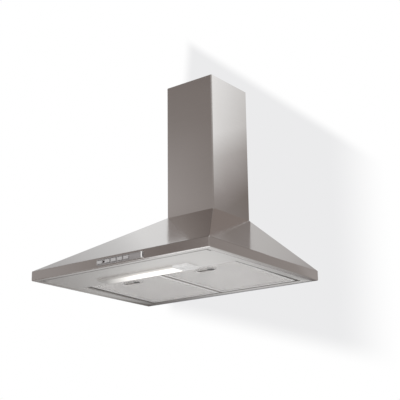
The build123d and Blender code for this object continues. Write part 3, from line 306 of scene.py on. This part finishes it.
# %% [markdown]
# Rolled aluminium isn't polished: its fine marks scatter a part of the light evenly.
# Setting it partly metallic gives it that even part. The foil pack between the nets is
# crumpled, and scatters more still.

# %% Plain finishes
rolling_marks = {"speck_mm": 0.5, "stretch": (0.05, 1, 1)}
aluminium = plain_finish("mill_aluminium", "#FCFAF8", 0.24, 0.65, **rolling_marks)
layered_foil = plain_finish("layered_aluminium_foil", "#F4F2F0", 0.5, 0.3)
pressed_aluminium = plain_finish("pressed_aluminium", "#E2E0DE", 0.32, 1.0)
spring_steel = plain_finish("bright_spring_steel", "#B9B8B7", 0.25, 1.0)
zinc_plate = plain_finish("zinc_plated_screws", "#BDBDB8", 0.3, 1.0)
ground_steel = plain_finish("ground_steel", "#C8C8C8", 0.15, 1.0)
motor_paint = plain_finish("grey_motor_paint", "#5B5C5E", 0.45, 0.3)
grip_plastic = plain_finish("satin_grey_plastic", "#E3E2E0", 0.28)
button_plastic = plain_finish("light_grey_plastic", "#ABA9A8", 0.3)
lens_plastic = plain_finish("dark_lens_plastic", "#1A0D0D", 0.08, contrast=0.02)
white_plastic = plain_finish("white_ceramic_plastic", "#E4E3DE", 0.4)
black_plastic = plain_finish("black_moulded_plastic", "#242425", 0.5)
soft_rubber = plain_finish("black_rubber", "#1D1D1E", 0.75, speck_mm=1.0)

paint(layered_foil, "filter_pack_left", "filter_pack_right")
paint(pressed_aluminium, "filter_handle_left", "filter_handle_right")
paint(zinc_plate, "plate_screws", "casing_screws", "motor_screws")
paint(ground_steel, "motor_shaft", "damper_spindle")
paint(motor_paint, "motor_case")
paint(grip_plastic, "lamp_grip")
paint(button_plastic, "button_lamp", "button_stop", "button_speed_1",
      "button_speed_2", "button_speed_3")
paint(lens_plastic, "pilot_light")
paint(white_plastic, "lamp_holder_left", "lamp_holder_right", "terminal_block",
      "capacitor")
paint(black_plastic, "casing_left", "casing_right", "impeller", "outlet_collar",
      "damper_flap_front", "damper_flap_rear", "junction_box", "junction_lid",
      "switch_block")
paint(soft_rubber, "motor_grommets", "cable_gland", "motor_lead", "lamp_lead",
      "switch_lead")

# %% [markdown]
# ## Second tones, with painted shade and a painted highlight
# Some pieces carry a second tone on a part of themselves. Shade is painted into the
# step round each filter, the catch is painted black on its knob, and a painted
# highlight makes a bright bar at the control strip's end. Splitting the meshes would be
# one way. Here a second colour is mixed in by where a point lies on the piece, which
# keeps each CAD node whole.

# %% A second tone
def second_tone(material, colour, *zones):
    """Give a part of a material another colour; a zone is a direction, start and end."""
    tree = material.node_tree
    shader = next(made for made in tree.nodes if made.type == "BSDF_PRINCIPLED")
    first = shader.inputs["Base Color"].links[0].from_socket
    place = add(tree, "ShaderNodeTexCoord")
    share = 1.0
    for direction, start, end in zones:
        along = add(
            tree, "ShaderNodeVectorMath", {0: place.outputs["Object"], 1: direction},
            operation="DOT_PRODUCT",
        )
        inside = add(
            tree, "ShaderNodeMath",
            {0: along.outputs["Value"], 1: (start + end) / 2, 2: (end - start) / 2},
            operation="COMPARE",
        )
        share = add(
            tree, "ShaderNodeMath", {0: inside.outputs[0], 1: share}, operation="MULTIPLY",
        ).outputs[0]
    both = add(
        tree, "ShaderNodeMix", {0: share, 6: first, 7: linear(colour)}, data_type="RGBA",
    )
    tree.links.new(both.outputs[2], shader.inputs["Base Color"])


ALONG_X, ALONG_Y = (1.0, 0.0, 0.0), (0.0, 1.0, 0.0)

# %% [markdown]
# Each filter hangs at its rear edge and rises a little to the front, so a level in it is
# a distance along the filter's own upright, from its lower face. Its place is the middle
# of its rear edge; the left filter has the same place mirrored.

# %% Filter frames and catches
filter_tilt = math.radians(1.15)
filter_place = (126.5 * MM, -27.0 * MM, 1.0 * MM)
filter_upright = (0.0, math.sin(filter_tilt), math.cos(filter_tilt))
lower_face = filter_place[1] * filter_upright[1] + filter_place[2] * filter_upright[2]
# Painted shade darkens the step round each filter between these levels.
painted_shade_levels = (1.2 * MM, 30.0 * MM)
# The catch is painted black between these levels, on its knob.
knob_levels = (-10.0 * MM, 6.0 * MM)
frame_aluminium = plain_finish("rolled_aluminium", "#E6E4E2", 0.3, 0.5, **rolling_marks)
for finish, colour, levels in (
    (frame_aluminium, "#B5B1AE", painted_shade_levels),
    (spring_steel, "#0E0D0D", knob_levels),
):
    low, high = (lower_face + level for level in levels)
    second_tone(finish, colour, (filter_upright, low, high))
paint(frame_aluminium, "filter_frame_left", "filter_frame_right")
paint(spring_steel, "filter_catch_left", "filter_catch_right")

# %% [markdown]
# A painted highlight makes a bright bar at the control strip's right end, where its end
# wall catches the light. On the panel two kinds of dark line show. One is painted shade
# along the right edge of the filters' opening, where a gap lies in shadow. The other is
# the joint with the canopy's flange, along the front and both sides, partly a real joint
# line and partly painted shade in its step.

# %% Control strip and underside panel
strip_plastic = plain_finish("silver_grey_plastic", "#8A8685", 0.3)
# A painted highlight: a bright bar where the strip's end wall catches the light.
strip_highlight_bar = (92.8 * MM, 97.0 * MM)
second_tone(strip_plastic, "#DCDBD9", (ALONG_X, *strip_highlight_bar))
paint(strip_plastic, "control_strip")

# Painted shade along the right edge of the filters' opening, for the gap there in shadow.
shade_line_across, shade_line_along = (256.4 * MM, 260.4 * MM), (-326 * MM, -24 * MM)
second_tone(satin, "#262423", (ALONG_X, *shade_line_across), (ALONG_Y, *shade_line_along))
# Joint lines with the flange: partly a real joint and partly painted shade in its step,
# lighter on the left side.
for colour, direction, start, end in (
    ("#8E8A87", ALONG_Y, -471.5 * MM, -463.0 * MM),
    ("#8E8A87", ALONG_X, 281.5 * MM, 285.5 * MM),
    ("#B4B0AD", ALONG_X, -285.5 * MM, -281.5 * MM),
):
    second_tone(satin, colour, (direction, start, end))
paint(satin, "underside_panel")

# %% [markdown]
# ## Zinc-coated sheet
# The pieces inside are hot-dipped sheet. The zinc sets in crystals about a centimetre
# across, which show as a faint pattern of flat patches, each with its own tone. A
# Voronoi texture divides a surface in just that way.

# %% Zinc-coated sheet
crystals_per_metre = 110.0
darkest_crystal = 0.86
least_rough, most_rough = 0.30, 0.45
zinc_sheet, tree = new_material("zinc_coated_sheet")
place = add(tree, "ShaderNodeTexCoord")
crystals = add(
    tree, "ShaderNodeTexVoronoi",
    {"Vector": place.outputs["Object"], "Scale": crystals_per_metre},
)
crystal_tone = add(tree, "ShaderNodeSeparateColor", {0: crystals.outputs["Color"]})
tone = add(
    tree, "ShaderNodeMapRange", {0: crystal_tone.outputs[0], 3: darkest_crystal, 4: 1.0},
)
shade = add(
    tree, "ShaderNodeMix", {0: 1.0, 6: linear("#C2C5C8"), 7: tone.outputs[0]},
    data_type="RGBA", blend_type="MULTIPLY",
)
gloss = add(
    tree, "ShaderNodeMapRange",
    {0: crystal_tone.outputs[1], 3: least_rough, 4: most_rough},
)
close_material(tree, add(
    tree, "ShaderNodeBsdfPrincipled",
    {"Base Color": shade.outputs[2], "Metallic": 1.0, "Roughness": gloss.outputs[0]},
))
paint(zinc_sheet, "back_panel", "chimney_bracket", "blower_plate", "lamp_tray",
      "capacitor_clip", "motor_mount", "inlet_guard")

# %% [markdown]
# ## Lamp
# Behind the opal cover burn two candle bulbs. The lamp is on in the photograph, so the
# cover glows: opal plastic scatters the light, and looks evenly bright from any side.
# Its left end and its edges are darker, because the bulbs don't reach them. The glow
# grows along a slanting line, so it is measured along a direction that leans from the
# cover's length towards its width.

# %% Soft edges and a fine bump
def inside_edges(tree, edges):
    """From 0 outside to 1 inside all of the edges.

    An edge is a direction, its outer and inner place along it in metres, and its course
    from one to the other.
    """
    place = add(tree, "ShaderNodeTexCoord")
    share = 1.0
    for direction, outer, inner, course in edges:
        along = add(
            tree, "ShaderNodeVectorMath", {0: place.outputs["Object"], 1: direction},
            operation="DOT_PRODUCT",
        )
        edge = add(
            tree, "ShaderNodeMapRange", {0: along.outputs["Value"], 1: outer, 2: inner},
            interpolation_type=course,
        )
        share = add(
            tree, "ShaderNodeMath", {0: edge.outputs[0], 1: share}, operation="MULTIPLY",
        ).outputs[0]
    return share


def fine_bump(tree, per_metre, strength, height_mm):
    """A fine unevenness in height."""
    place = add(tree, "ShaderNodeTexCoord")
    speck = add(
        tree, "ShaderNodeTexNoise", {"Vector": place.outputs["Object"], "Scale": per_metre},
    )
    return add(
        tree, "ShaderNodeBump",
        {"Height": speck.outputs[0], "Strength": strength, "Distance": height_mm * MM},
    )


# %% Lamp cover
glow_edges = [
    ((1.0, 0.87, 0.0), -0.455, -0.340, "LINEAR"),    # the slanting left end
    (ALONG_Y, -0.388, -0.375, "SMOOTHSTEP"),         # the front edge
    (ALONG_Y, -0.335, -0.346, "SMOOTHSTEP"),         # the rear edge
]
opal, tree = new_material("opal_plastic")
bump = fine_bump(tree, per_metre=900.0, strength=0.2, height_mm=0.03)
opal_body = add(
    tree, "ShaderNodeBsdfPrincipled",
    {"Base Color": linear("#A8A5A1"), "Roughness": 0.3, "Normal": bump.outputs[0]},
)
glow = add(
    tree, "ShaderNodeEmission",
    {"Color": linear("#FFFDF8"), "Strength": inside_edges(tree, glow_edges)},
)
close_material(tree, add(
    tree, "ShaderNodeAddShader", {0: opal_body.outputs[0], 1: glow.outputs[0]},
))
paint(opal, "lamp_cover")

# %% Bulbs
bulb_strength = 1.5
bulb_glass, tree = new_material("frosted_bulb_glass")
bump = fine_bump(tree, per_metre=400.0, strength=0.1, height_mm=0.02)
frosted = add(
    tree, "ShaderNodeBsdfPrincipled",
    {"Base Color": linear("#F6F3EA"), "Roughness": 0.35, "Normal": bump.outputs[0]},
)
glow = add(
    tree, "ShaderNodeEmission", {"Color": linear("#FFF0D0"), "Strength": bulb_strength},
)
close_material(tree, add(
    tree, "ShaderNodeAddShader", {0: frosted.outputs[0], 1: glow.outputs[0]},
))
paint(bulb_glass, "lamp_bulb_left", "lamp_bulb_right")

# %% [markdown]
# ## Filter faces
# Each filter shows a face of expanded aluminium: a sheet that was slit and pulled open
# into a net of diamonds. The real diamonds are about 6 by 3 mm, and a coarser net lies
# above the pack. The net could be cut as holes in a plate. Here one diamond is a loop
# of flat strand, and Geometry Nodes set a loop on every point of a grid, so that
# neighbours share their corners. The strand is drawn wider than the real one, to show.

# %% Sizes of the net, and its named inputs
diamond_long = 6.4 * MM
diamond_short = 3.2 * MM
strand_wide = 1.15 * MM
strand_thick = 0.35 * MM
face_width = 237.0 * MM
face_length = 283.0 * MM
filter_middle = -149.0 * MM
lower_level, upper_level = 1.1 * MM, 8.9 * MM
columns = int(face_width / diamond_long)
rows = int(face_length / diamond_short)
net = bpy.data.node_groups.new("expanded_net", "GeometryNodeTree")
net.is_modifier = True
net.interface.new_socket("Geometry", in_out="OUTPUT", socket_type="NodeSocketGeometry")
for name, kind, value in (
    ("Diamond long", "NodeSocketFloat", diamond_long),
    ("Diamond short", "NodeSocketFloat", diamond_short),
    ("Columns", "NodeSocketInt", columns),
    ("Rows", "NodeSocketInt", rows),
    ("Level", "NodeSocketFloat", lower_level),
    ("Strand", "NodeSocketFloat", strand_wide),
    ("Material", "NodeSocketMaterial", None),
):
    socket = net.interface.new_socket(name, in_out="INPUT", socket_type=kind)
    if value is not None:
        socket.default_value = value
given = add(net, "NodeGroupInput").outputs
print("a fine net has", columns, "by", rows, "diamonds")

# %% A grid of points
spans = []
for pitch, count in (("Diamond long", "Columns"), ("Diamond short", "Rows")):
    steps = add(net, "ShaderNodeMath", {0: given[count], 1: 1.0}, operation="SUBTRACT")
    spans.append(add(
        net, "ShaderNodeMath", {0: given[pitch], 1: steps.outputs[0]},
        operation="MULTIPLY",
    ))
lattice = add(
    net, "GeometryNodeMeshGrid",
    {
        0: spans[0].outputs[0], 1: spans[1].outputs[0],
        2: given["Columns"], 3: given["Rows"],
    },
)
seated = add(
    net, "GeometryNodeTransform",
    {"Geometry": lattice.outputs[0], "Translation": (0.0, filter_middle, 0.0)},
)

# %% [markdown]
# The handle's pocket is a hole in the net with straight sides and round ends. A point
# lies under it if it is nearer to the pocket's middle line than this reach, which holds
# the pocket's rim and a little room.

# %% Leave out the points under the handle
handle_place = -243.0 * MM
handle_half_line = 18.0 * MM
handle_reach = 13.5 * MM
spot = add(net, "GeometryNodeInputPosition")
spot_xyz = add(net, "ShaderNodeSeparateXYZ", {0: spot.outputs[0]})
aside = add(net, "ShaderNodeMath", {0: spot_xyz.outputs[0]}, operation="ABSOLUTE")
past_middle = add(
    net, "ShaderNodeMath", {0: aside.outputs[0], 1: handle_half_line},
    operation="SUBTRACT",
)
past_end = add(
    net, "ShaderNodeMath", {0: past_middle.outputs[0], 1: 0.0}, operation="MAXIMUM",
)
from_handle = add(
    net, "ShaderNodeMath", {0: spot_xyz.outputs[1], 1: handle_place},
    operation="SUBTRACT",
)
offset = add(
    net, "ShaderNodeCombineXYZ", {0: past_end.outputs[0], 1: from_handle.outputs[0]},
)
distance = add(net, "ShaderNodeVectorMath", {0: offset.outputs[0]}, operation="LENGTH")
under_handle = add(
    net, "FunctionNodeCompare", {0: distance.outputs["Value"], 1: handle_reach},
    data_type="FLOAT", operation="LESS_THAN",
)
kept_points = add(
    net, "GeometryNodeDeleteGeometry",
    {"Geometry": seated.outputs[0], "Selection": under_handle.outputs[0]},
    domain="POINT",
)

# %% A diamond on every point
half_short = add(
    net, "ShaderNodeMath", {0: given["Diamond short"], 1: 0.5}, operation="MULTIPLY",
)
loop = add(
    net, "GeometryNodeCurvePrimitiveQuadrilateral",
    {
        "Width": given["Diamond long"], "Bottom Height": half_short.outputs[0],
        "Top Height": half_short.outputs[0],
    },
    mode="KITE",
)
strand = add(
    net, "GeometryNodeCurvePrimitiveQuadrilateral",
    {"Width": given["Strand"], "Height": strand_thick}, mode="RECTANGLE",
)
diamond = add(
    net, "GeometryNodeCurveToMesh",
    {"Curve": loop.outputs[0], "Profile Curve": strand.outputs[0]},
)
many = add(
    net, "GeometryNodeInstanceOnPoints",
    {"Points": kept_points.outputs[0], "Instance": diamond.outputs[0]},
)
height = add(net, "ShaderNodeCombineXYZ", {2: given["Level"]})
lifted = add(
    net, "GeometryNodeTransform",
    {"Geometry": many.outputs[0], "Translation": height.outputs[0]},
)
solid = add(net, "GeometryNodeRealizeInstances", {0: lifted.outputs[0]})
coloured = add(
    net, "GeometryNodeSetMaterial",
    {"Geometry": solid.outputs[0], "Material": given["Material"]},
)
add(net, "NodeGroupOutput", {0: coloured.outputs[0]})
print("the net's tree has", len(net.nodes), "nodes")

# %% From nodes to a mesh in its place
def made_by(tree, name, values):
    """Run a Geometry Nodes tree with these input values, and keep the plain mesh."""
    holder = new_object(name + "_maker", bpy.data.meshes.new(name + "_seed"))
    modifier = holder.modifiers.new("maker", "NODES")
    modifier.node_group = tree
    identifiers = {
        item.name: item.identifier
        for item in tree.interface.items_tree if item.in_out == "INPUT"
    }
    for key, value in values.items():
        modifier[identifiers[key]] = value
    ready = holder.evaluated_get(bpy.context.evaluated_depsgraph_get())
    mesh = bpy.data.meshes.new_from_object(ready)
    mesh.name = name
    bpy.data.objects.remove(holder)
    return mesh


def seat_on_filter(mesh, side):
    """Move a mesh from the filter's own level frame to its place in the hood."""
    cosine, sine = math.cos(filter_tilt), math.sin(filter_tilt)
    for vertex in mesh.vertices:
        x, y, z = vertex.co
        vertex.co = (
            x + side * filter_place[0],
            y * cosine + z * sine + filter_place[1],
            z * cosine - y * sine + filter_place[2],
        )


def joined(name, parts):
    """One object from several meshes."""
    made = bmesh.new()
    for part in parts:
        made.from_mesh(part)
    mesh = bpy.data.meshes.new(name)
    made.to_mesh(mesh)
    made.free()
    return new_object(name, mesh)


# %% [markdown]
# The coarse net's diamonds are twice as large, so it has half as many each way. Each
# face takes the place of the pierced plate that stands for it in the CAD model.

# %% Faces of both filters
coarser = 2
coarse_strand = 1.6 * strand_wide
for side_name, side in (("left", -1), ("right", 1)):
    fine_net = made_by(net, "fine_net", {"Material": aluminium})
    coarse_net = made_by(net, "coarse_net", {
        "Material": aluminium, "Level": upper_level, "Strand": coarse_strand,
        "Diamond long": coarser * diamond_long, "Columns": columns // coarser,
        "Diamond short": coarser * diamond_short, "Rows": rows // coarser,
    })
    heights = [vertex.co.z for vertex in fine_net.vertices]
    faces = joined("filter_faces_" + side_name, [fine_net, coarse_net])
    faces.data.materials.append(aluminium)
    seat_on_filter(faces.data, side)
    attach(faces, "filter_" + side_name)
    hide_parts("filter_mesh_" + side_name)
    thick_mm = round((max(heights) - min(heights)) / MM, 2)
    print(faces.name, len(faces.data.polygons), "faces, fine net", thick_mm, "mm thick")

# %% [markdown]
# ## Studio
# The hood hangs on a white wall, with a pale floor far below it. Both show from one
# side only, so that the hood can also be looked at from behind and below. White comes
# from what the camera and reflections see, and not from more light on the hood.

# %% What rays see
def any_ray(tree, *kinds):
    """1 for a ray of one of these kinds, else 0."""
    ray = add(tree, "ShaderNodeLightPath")
    share = ray.outputs[kinds[0]]
    for kind in kinds[1:]:
        share = add(
            tree, "ShaderNodeMath", {0: share, 1: ray.outputs[kind]}, operation="MAXIMUM",
        ).outputs[0]
    return share


def close_one_sided(tree, surface):
    """Link a surface to the output, and leave its back clear."""
    side = add(tree, "ShaderNodeNewGeometry")
    clear = add(tree, "ShaderNodeBsdfTransparent")
    close_material(tree, add(
        tree, "ShaderNodeMixShader",
        {0: side.outputs["Backfacing"], 1: surface.outputs[0], 2: clear.outputs[0]},
    ))


def flat_object(name, corners):
    """An object of one flat polygon."""
    mesh = bpy.data.meshes.new(name)
    mesh.from_pydata(corners, [], [range(len(corners))])
    return new_object(name, mesh)


# %% World
ambient_strength = 0.8
world = bpy.data.worlds.new("white_studio")
scene.world = world
world.use_nodes = True
tree = world.node_tree
tree.nodes.clear()
seen = any_ray(tree, "Is Camera Ray", "Is Glossy Ray", "Is Transmission Ray")
ambient = add(
    tree, "ShaderNodeBackground",
    {"Color": linear("#F0F0F2"), "Strength": ambient_strength},
)
white = add(tree, "ShaderNodeBackground", {"Color": linear("#FFFFFF"), "Strength": 1.0})
either = add(
    tree, "ShaderNodeMixShader", {0: seen, 1: ambient.outputs[0], 2: white.outputs[0]},
)
add(tree, "ShaderNodeOutputWorld", {"Surface": either.outputs[0]})
print(world.name, "gives the hood an even light of strength", ambient_strength)

# %% Floor
far = 12.0
floor_height = -1.55
floor_lift = 0.35
studio_floor = flat_object("studio_floor", [
    (-far, -far, floor_height), (far, -far, floor_height),
    (far, far, floor_height), (-far, far, floor_height),
])
floor_paint, tree = new_material("pale_floor")
seen = any_ray(tree, "Is Camera Ray", "Is Glossy Ray")
lift = add(tree, "ShaderNodeMath", {0: seen, 1: floor_lift}, operation="MULTIPLY")
matt = add(tree, "ShaderNodeBsdfDiffuse", {"Color": linear("#E4E4E4")})
glow = add(
    tree, "ShaderNodeEmission", {"Color": linear("#FFFFFF"), "Strength": lift.outputs[0]},
)
close_one_sided(tree, add(
    tree, "ShaderNodeAddShader", {0: matt.outputs[0], 1: glow.outputs[0]},
))
studio_floor.data.materials.append(floor_paint)
print("floor at", floor_height, "m")

# %% [markdown]
# In the photograph a soft shadow lies on the wall's right half. It has four soft edges,
# two of them slanting, so it is the part of the wall that lies inside all four.

# %% Wall
wall_back = 2.0 * MM
studio_wall = flat_object("studio_wall", [
    (-far, wall_back, floor_height), (far, wall_back, floor_height),
    (far, wall_back, far), (-far, wall_back, far),
])
shadow_edges = [
    ((0.86, 0.0, 1.0), 0.745, 0.700, "SMOOTHSTEP"),      # above, slanting
    ((0.30, 0.0, 1.0), -0.115, -0.045, "SMOOTHSTEP"),    # below, slanting
    (ALONG_X, 0.530, 0.340, "SMOOTHSTEP"),               # right
    ((1.0, 0.0, -0.1), -0.240, -0.190, "SMOOTHSTEP"),    # left
]
wall_paint, tree = new_material("white_wall")
wall_tone = add(
    tree, "ShaderNodeMix",
    {0: inside_edges(tree, shadow_edges), 6: linear("#FFFFFF"), 7: linear("#EBEBEC")},
    data_type="RGBA",
)
close_one_sided(tree, add(
    tree, "ShaderNodeEmission", {"Color": wall_tone.outputs[2], "Strength": 1.0},
))
studio_wall.data.materials.append(wall_paint)
studio_wall.visible_diffuse = False
studio_wall.visible_shadow = False
print("wall", round(wall_back / MM, 1), "mm behind the hood")

# %% [markdown]
# ## Reflector cards
# Polished metal has no look of its own: it shows what stands round it. A photographer
# therefore sets up cards, out of the camera's sight, that the metal mirrors: grey ones
# for tone, edges of cards for crisp lines. These cards are seen by glossy rays only.
# A picture of a room could light the metal too. Cards are chosen, because each can be
# set for the face that mirrors it. A card is a strip of quads with a level of grey at
# each point, from 0 to 255, and Blender blends the levels smoothly between them.
# Darker greys are a little warmer, as the room was. The levels were set step by step
# until the metal's tones met the photograph's, so they suit this camera. From another
# side the metal mirrors them elsewhere, and plainer cards would do as well.

# %% Card paint
after_one_reflection = 1.5    # Glossy Depth is 1 at the first, and 2 at the second


def card_finish(name, twice_seen=None):
    """Card paint; twice_seen is its colour after two reflections, where it differs."""
    made, tree = new_material(name)
    tone = add(tree, "ShaderNodeVertexColor", layer_name="tone").outputs[0]
    if twice_seen:
        ray = add(tree, "ShaderNodeLightPath")
        second = add(
            tree, "ShaderNodeMath",
            {0: ray.outputs["Glossy Depth"], 1: after_one_reflection},
            operation="GREATER_THAN",
        )
        tone = add(
            tree, "ShaderNodeMix", {0: second.outputs[0], 6: tone, 7: linear(twice_seen)},
            data_type="RGBA",
        ).outputs[2]
    close_material(tree, add(tree, "ShaderNodeEmission", {"Color": tone}))
    return made


card_paint = card_finish("reflector_card")
# The right slope's dark half mirrors the chimney, and in it the wall once more.
chimney_card_paint = card_finish("chimney_reflector_card", "#8C837F")


# %% A card
neutral_level = 230                     # darker greys than this are warm
warm_lean = (0.055, -0.013, -0.042)     # by these shares, in red, green and blue


def warm_grey(level, warmth):
    """A linear grey of this level, the warmer the darker."""
    lean = warmth * (neutral_level - level)
    channels = [round(level + share * lean) for share in warm_lean]
    return linear("#" + "".join(f"{max(0, min(255, c)):02X}" for c in channels))


def card(name, rows, warmth=1.0, finish=card_paint):
    """A strip of quads; a row is a list of points and a list of their levels of grey."""
    points = [Vector(point) for places, _ in rows for point in places]
    levels = [level for _, row_levels in rows for level in row_levels]
    width = len(rows[0][0])
    corners = [
        row * width + i for row in range(len(rows) - 1) for i in range(width - 1)
    ]
    faces = [(i, i + 1, i + width + 1, i + width) for i in corners]
    mesh = bpy.data.meshes.new(name)
    mesh.from_pydata(points, [], faces)
    layer = mesh.color_attributes.new("tone", "FLOAT_COLOR", "POINT")
    for entry, level in zip(layer.data, levels):
        entry.color = warm_grey(level, warmth)
    mesh.materials.append(finish)
    made = new_object(name, mesh)
    made.visible_camera = False
    made.visible_diffuse = False
    made.visible_shadow = False
    made.visible_transmission = False
    print(name, len(faces), "quads, levels", min(levels), "to", max(levels))


def on_wall(points, gap=1.0):
    """Points gap mm in front of the wall, from their X and Z in millimetres."""
    return [(x * MM, wall_back - gap * MM, z * MM) for x, z in points]


# %% [markdown]
# The right faces mirror the wall beside the hood. There the cards lie a millimetre or
# so in front of the wall, and their places are X and Z in millimetres.

# %% Cards for the right faces
# The chimney's right side mirrors this one.
card("chimney_card", [
    (on_wall([(82, 201), (160, 219), (240, 237)]), [124, 126, 142]),
    (on_wall([(82, 285), (160, 250), (240, 260)]), [122, 132, 146]),
    (on_wall([(82, 315), (160, 300), (240, 300)]), [135, 147, 157]),
    (on_wall([(82, 420), (160, 420), (240, 420)]), [168, 190, 212]),
    (on_wall([(82, 500), (160, 500), (240, 500)]), [208, 228, 247]),
    (on_wall([(82, 720), (160, 720), (240, 720)]), [231, 243, 255]),
], finish=chimney_card_paint)
# The bright half of the right slope mirrors this one.
card("slope_card", [
    (on_wall([(60, 0), (230, 0), (330, 0)]), [182, 174, 150]),
    (on_wall([(60, 196), (230, 234), (330, 257)]), [190, 188, 174]),
], 0.8)
# The right rim mirrors this one.
card("rim_card", [
    (on_wall([(299, -16), (330, -16), (1000, -16), (6000, -16)], 1.5),
     [162, 145, 130, 130]),
    (on_wall([(299, 60), (420, 150), (1000, 500), (6000, 3000)], 1.5),
     [155, 144, 130, 130]),
])
# The bend over the right rim mirrors this one.
card("bend_card", [
    (on_wall([(242, 258), (330, 258), (420, 151), (1000, 501)]), [115] * 4),
    (on_wall([(242, 800), (330, 800), (420, 800), (1000, 800)]), [115] * 4),
])

# %% [markdown]
# The sloping front mirrors the wall to the left of the hood. The bend above the rim and
# the hem below it mirror the ceiling and the floor.

# %% Cards for the sloping front and the bends
# The lower right end of the sloping front is dark, because it mirrors this one.
card("left_flag", [
    (on_wall([(-241, 333), (-60, 333)]), [130, 130]),
    (on_wall([(-333, 461), (-60, 461)]), [130, 130]),
])
# The rest of the sloping front mirrors this one.
left_places = [-1400, -806, -520, -400, -60]
left_levels = [165, 183, 205, 224, 224]
card("left_card", [
    (on_wall([(x, height) for x in left_places], 0.5), levels)
    for height, levels in (
        (150, left_levels), (540, left_levels), (640, [95] * 5), (2400, [80] * 5),
    )
], 0.2)
# The bend between the rim and the slope mirrors what hangs above.
card("ceiling_card", [
    ([(-3.5, -1.3, 2.4), (1.0, -1.3, 2.4)], [80, 80]),
    ([(-3.5, -0.01, 2.4), (1.0, -0.01, 2.4)], [80, 80]),
])
# The hem under the rim mirrors the floor, which is dark to its left half.
card("floor_card", [
    ([(-4.0, -3.0, -1.5), (-1.8, -3.0, -1.5)], [125, 125]),
    ([(-4.0, -0.5, -1.5), (-1.05, -0.5, -1.5)], [125, 125]),
    ([(-4.0, -0.01, -1.5), (-1.1, -0.01, -1.5)], [125, 125]),
])

# %% [markdown]
# The underside mirrors the wall below the hood. The flange runs round the panel, so its
# rays meet the wall outside those of the panel and the filters, and each of the two
# gets a card of its own.

# %% Cards for the underside
# The flange mirrors this one.
under_places = [-1400, -504, -300, -59, 100, 900]
card("under_card", [
    (on_wall([(x, height) for x in under_places]), levels) for height, levels in (
        (-1500, [140, 180, 255, 255, 255, 190]),
        (-500, [140, 180, 255, 255, 255, 190]),
        (-330, [155, 190, 230, 215, 195, 180]),
        (-190, [150, 182, 215, 205, 185, 175]),
        (-100, [130, 125, 125, 180, 170, 165]),
        (-10, [115, 105, 105, 150, 130, 140]),
        (0, [100, 100, 110, 120, 100, 110]),
    )
], 0.5)
# The hem along the left side mirrors this one.
card("left_hem_card", [
    (on_wall([(-1400, -17), (-300, -17)]), [120, 120]),
    (on_wall([(-1400, 150), (-300, 150)]), [120, 120]),
])
# The panel and the filters mirror this one.
card("under_card_inner", [
    (on_wall([(-780, -143), (-430, -142), (-300, -142), (-59, -141)], 2.0),
     [184, 255, 250, 236]),
    (on_wall([(-534, -66), (-300, -66), (-130, -66), (112, -66)], 2.0),
     [175, 210, 236, 238]),
    (on_wall([(-288, -1), (-150, -1), (30, -1), (283, -1)], 2.0),
     [90, 130, 200, 208]),
], 0.3)

# %% [markdown]
# The front faces mirror the room. Two tall round screens stand 5 m away and take its
# place: one for the flat fronts, one for the rounded corners.

# %% Screens in front
screen_radius = 5.0


def round_row(height, turns, levels):
    """A row of points round the hood at these turns in degrees; -180 is in front."""
    angles = [math.radians(turn) for turn in turns]
    places = [
        (screen_radius * math.sin(a), screen_radius * math.cos(a), height) for a in angles
    ]
    return places, levels


# The rim mirrors the heights from 1.0 to 1.3 m, the chimney those from 1.6 to 2.8 m.
front_turns = [-75, -136, -138.5, -141, -146, -149.3]
card("front_screen", [
    round_row(height, front_turns, levels) for height, levels in (
        (-1.5, [140, 140, 140, 150, 250, 250]),
        (0.5, [140, 140, 140, 155, 250, 250]),
        (0.95, [157, 152, 142, 131, 113, 124]),
        (1.3, [157, 152, 142, 131, 113, 124]),
        (1.63, [174, 170, 168, 165, 142, 141]),
        (1.9, [164, 160, 158, 156, 135, 135]),
        (2.42, [140, 136, 134, 131, 127, 127]),
        (2.78, [126, 126, 125, 125, 125, 125]),
        (3.0, [160, 146, 113, 108, 108, 108]),
        (3.6, [160, 146, 113, 108, 108, 108]),
        (4.4, [90, 82, 82, 82, 82, 82]),
        (25.0, [75] * 6),
    )
])
# The rounded corners of the rim and the chimney mirror the right part of the room.
corner_turns = [-149.3, -152, -270]
card("corner_screen", [
    round_row(height, corner_turns, [first, level, level]) for height, first, level in (
        (-1.5, 165, 165), (0.95, 130, 145), (1.3, 130, 145), (1.63, 141, 150),
        (1.9, 135, 165), (2.15, 131, 240), (2.5, 128, 252), (2.7, 123, 143),
        (3.1, 108, 143), (4.4, 82, 90), (25.0, 75, 75),
    )
])

# %% [markdown]
# ## Lamps
# Two large soft lamps, above and below in front, give the plastic and the aluminium
# their light. They don't show in the metal, which has the cards to mirror.

# %% Lamps
def soft_lamp(name, place, aim, size, power):
    """A round area lamp of this size in metres and power in watts."""
    data = bpy.data.lights.new(name, "AREA")
    data.shape = "DISK"
    data.size = size
    data.energy = power
    lamp = bpy.data.objects.new(name, data)
    scene.collection.objects.link(lamp)
    lamp.location = place
    shining = Vector(aim) - Vector(place)
    lamp.rotation_euler = shining.to_track_quat("-Z", "Y").to_euler()
    lamp.visible_glossy = False
    lamp.visible_camera = False
    print(name, power, "W")


middle = (cad_low + cad_high) / 2
lamp_size = 1.6
soft_lamp("key_lamp", (-2.0, -3.0, 2.6), middle, lamp_size, 45.0)
soft_lamp("low_lamp", (1.2, -2.2, -1.2), middle, lamp_size, 26.0)
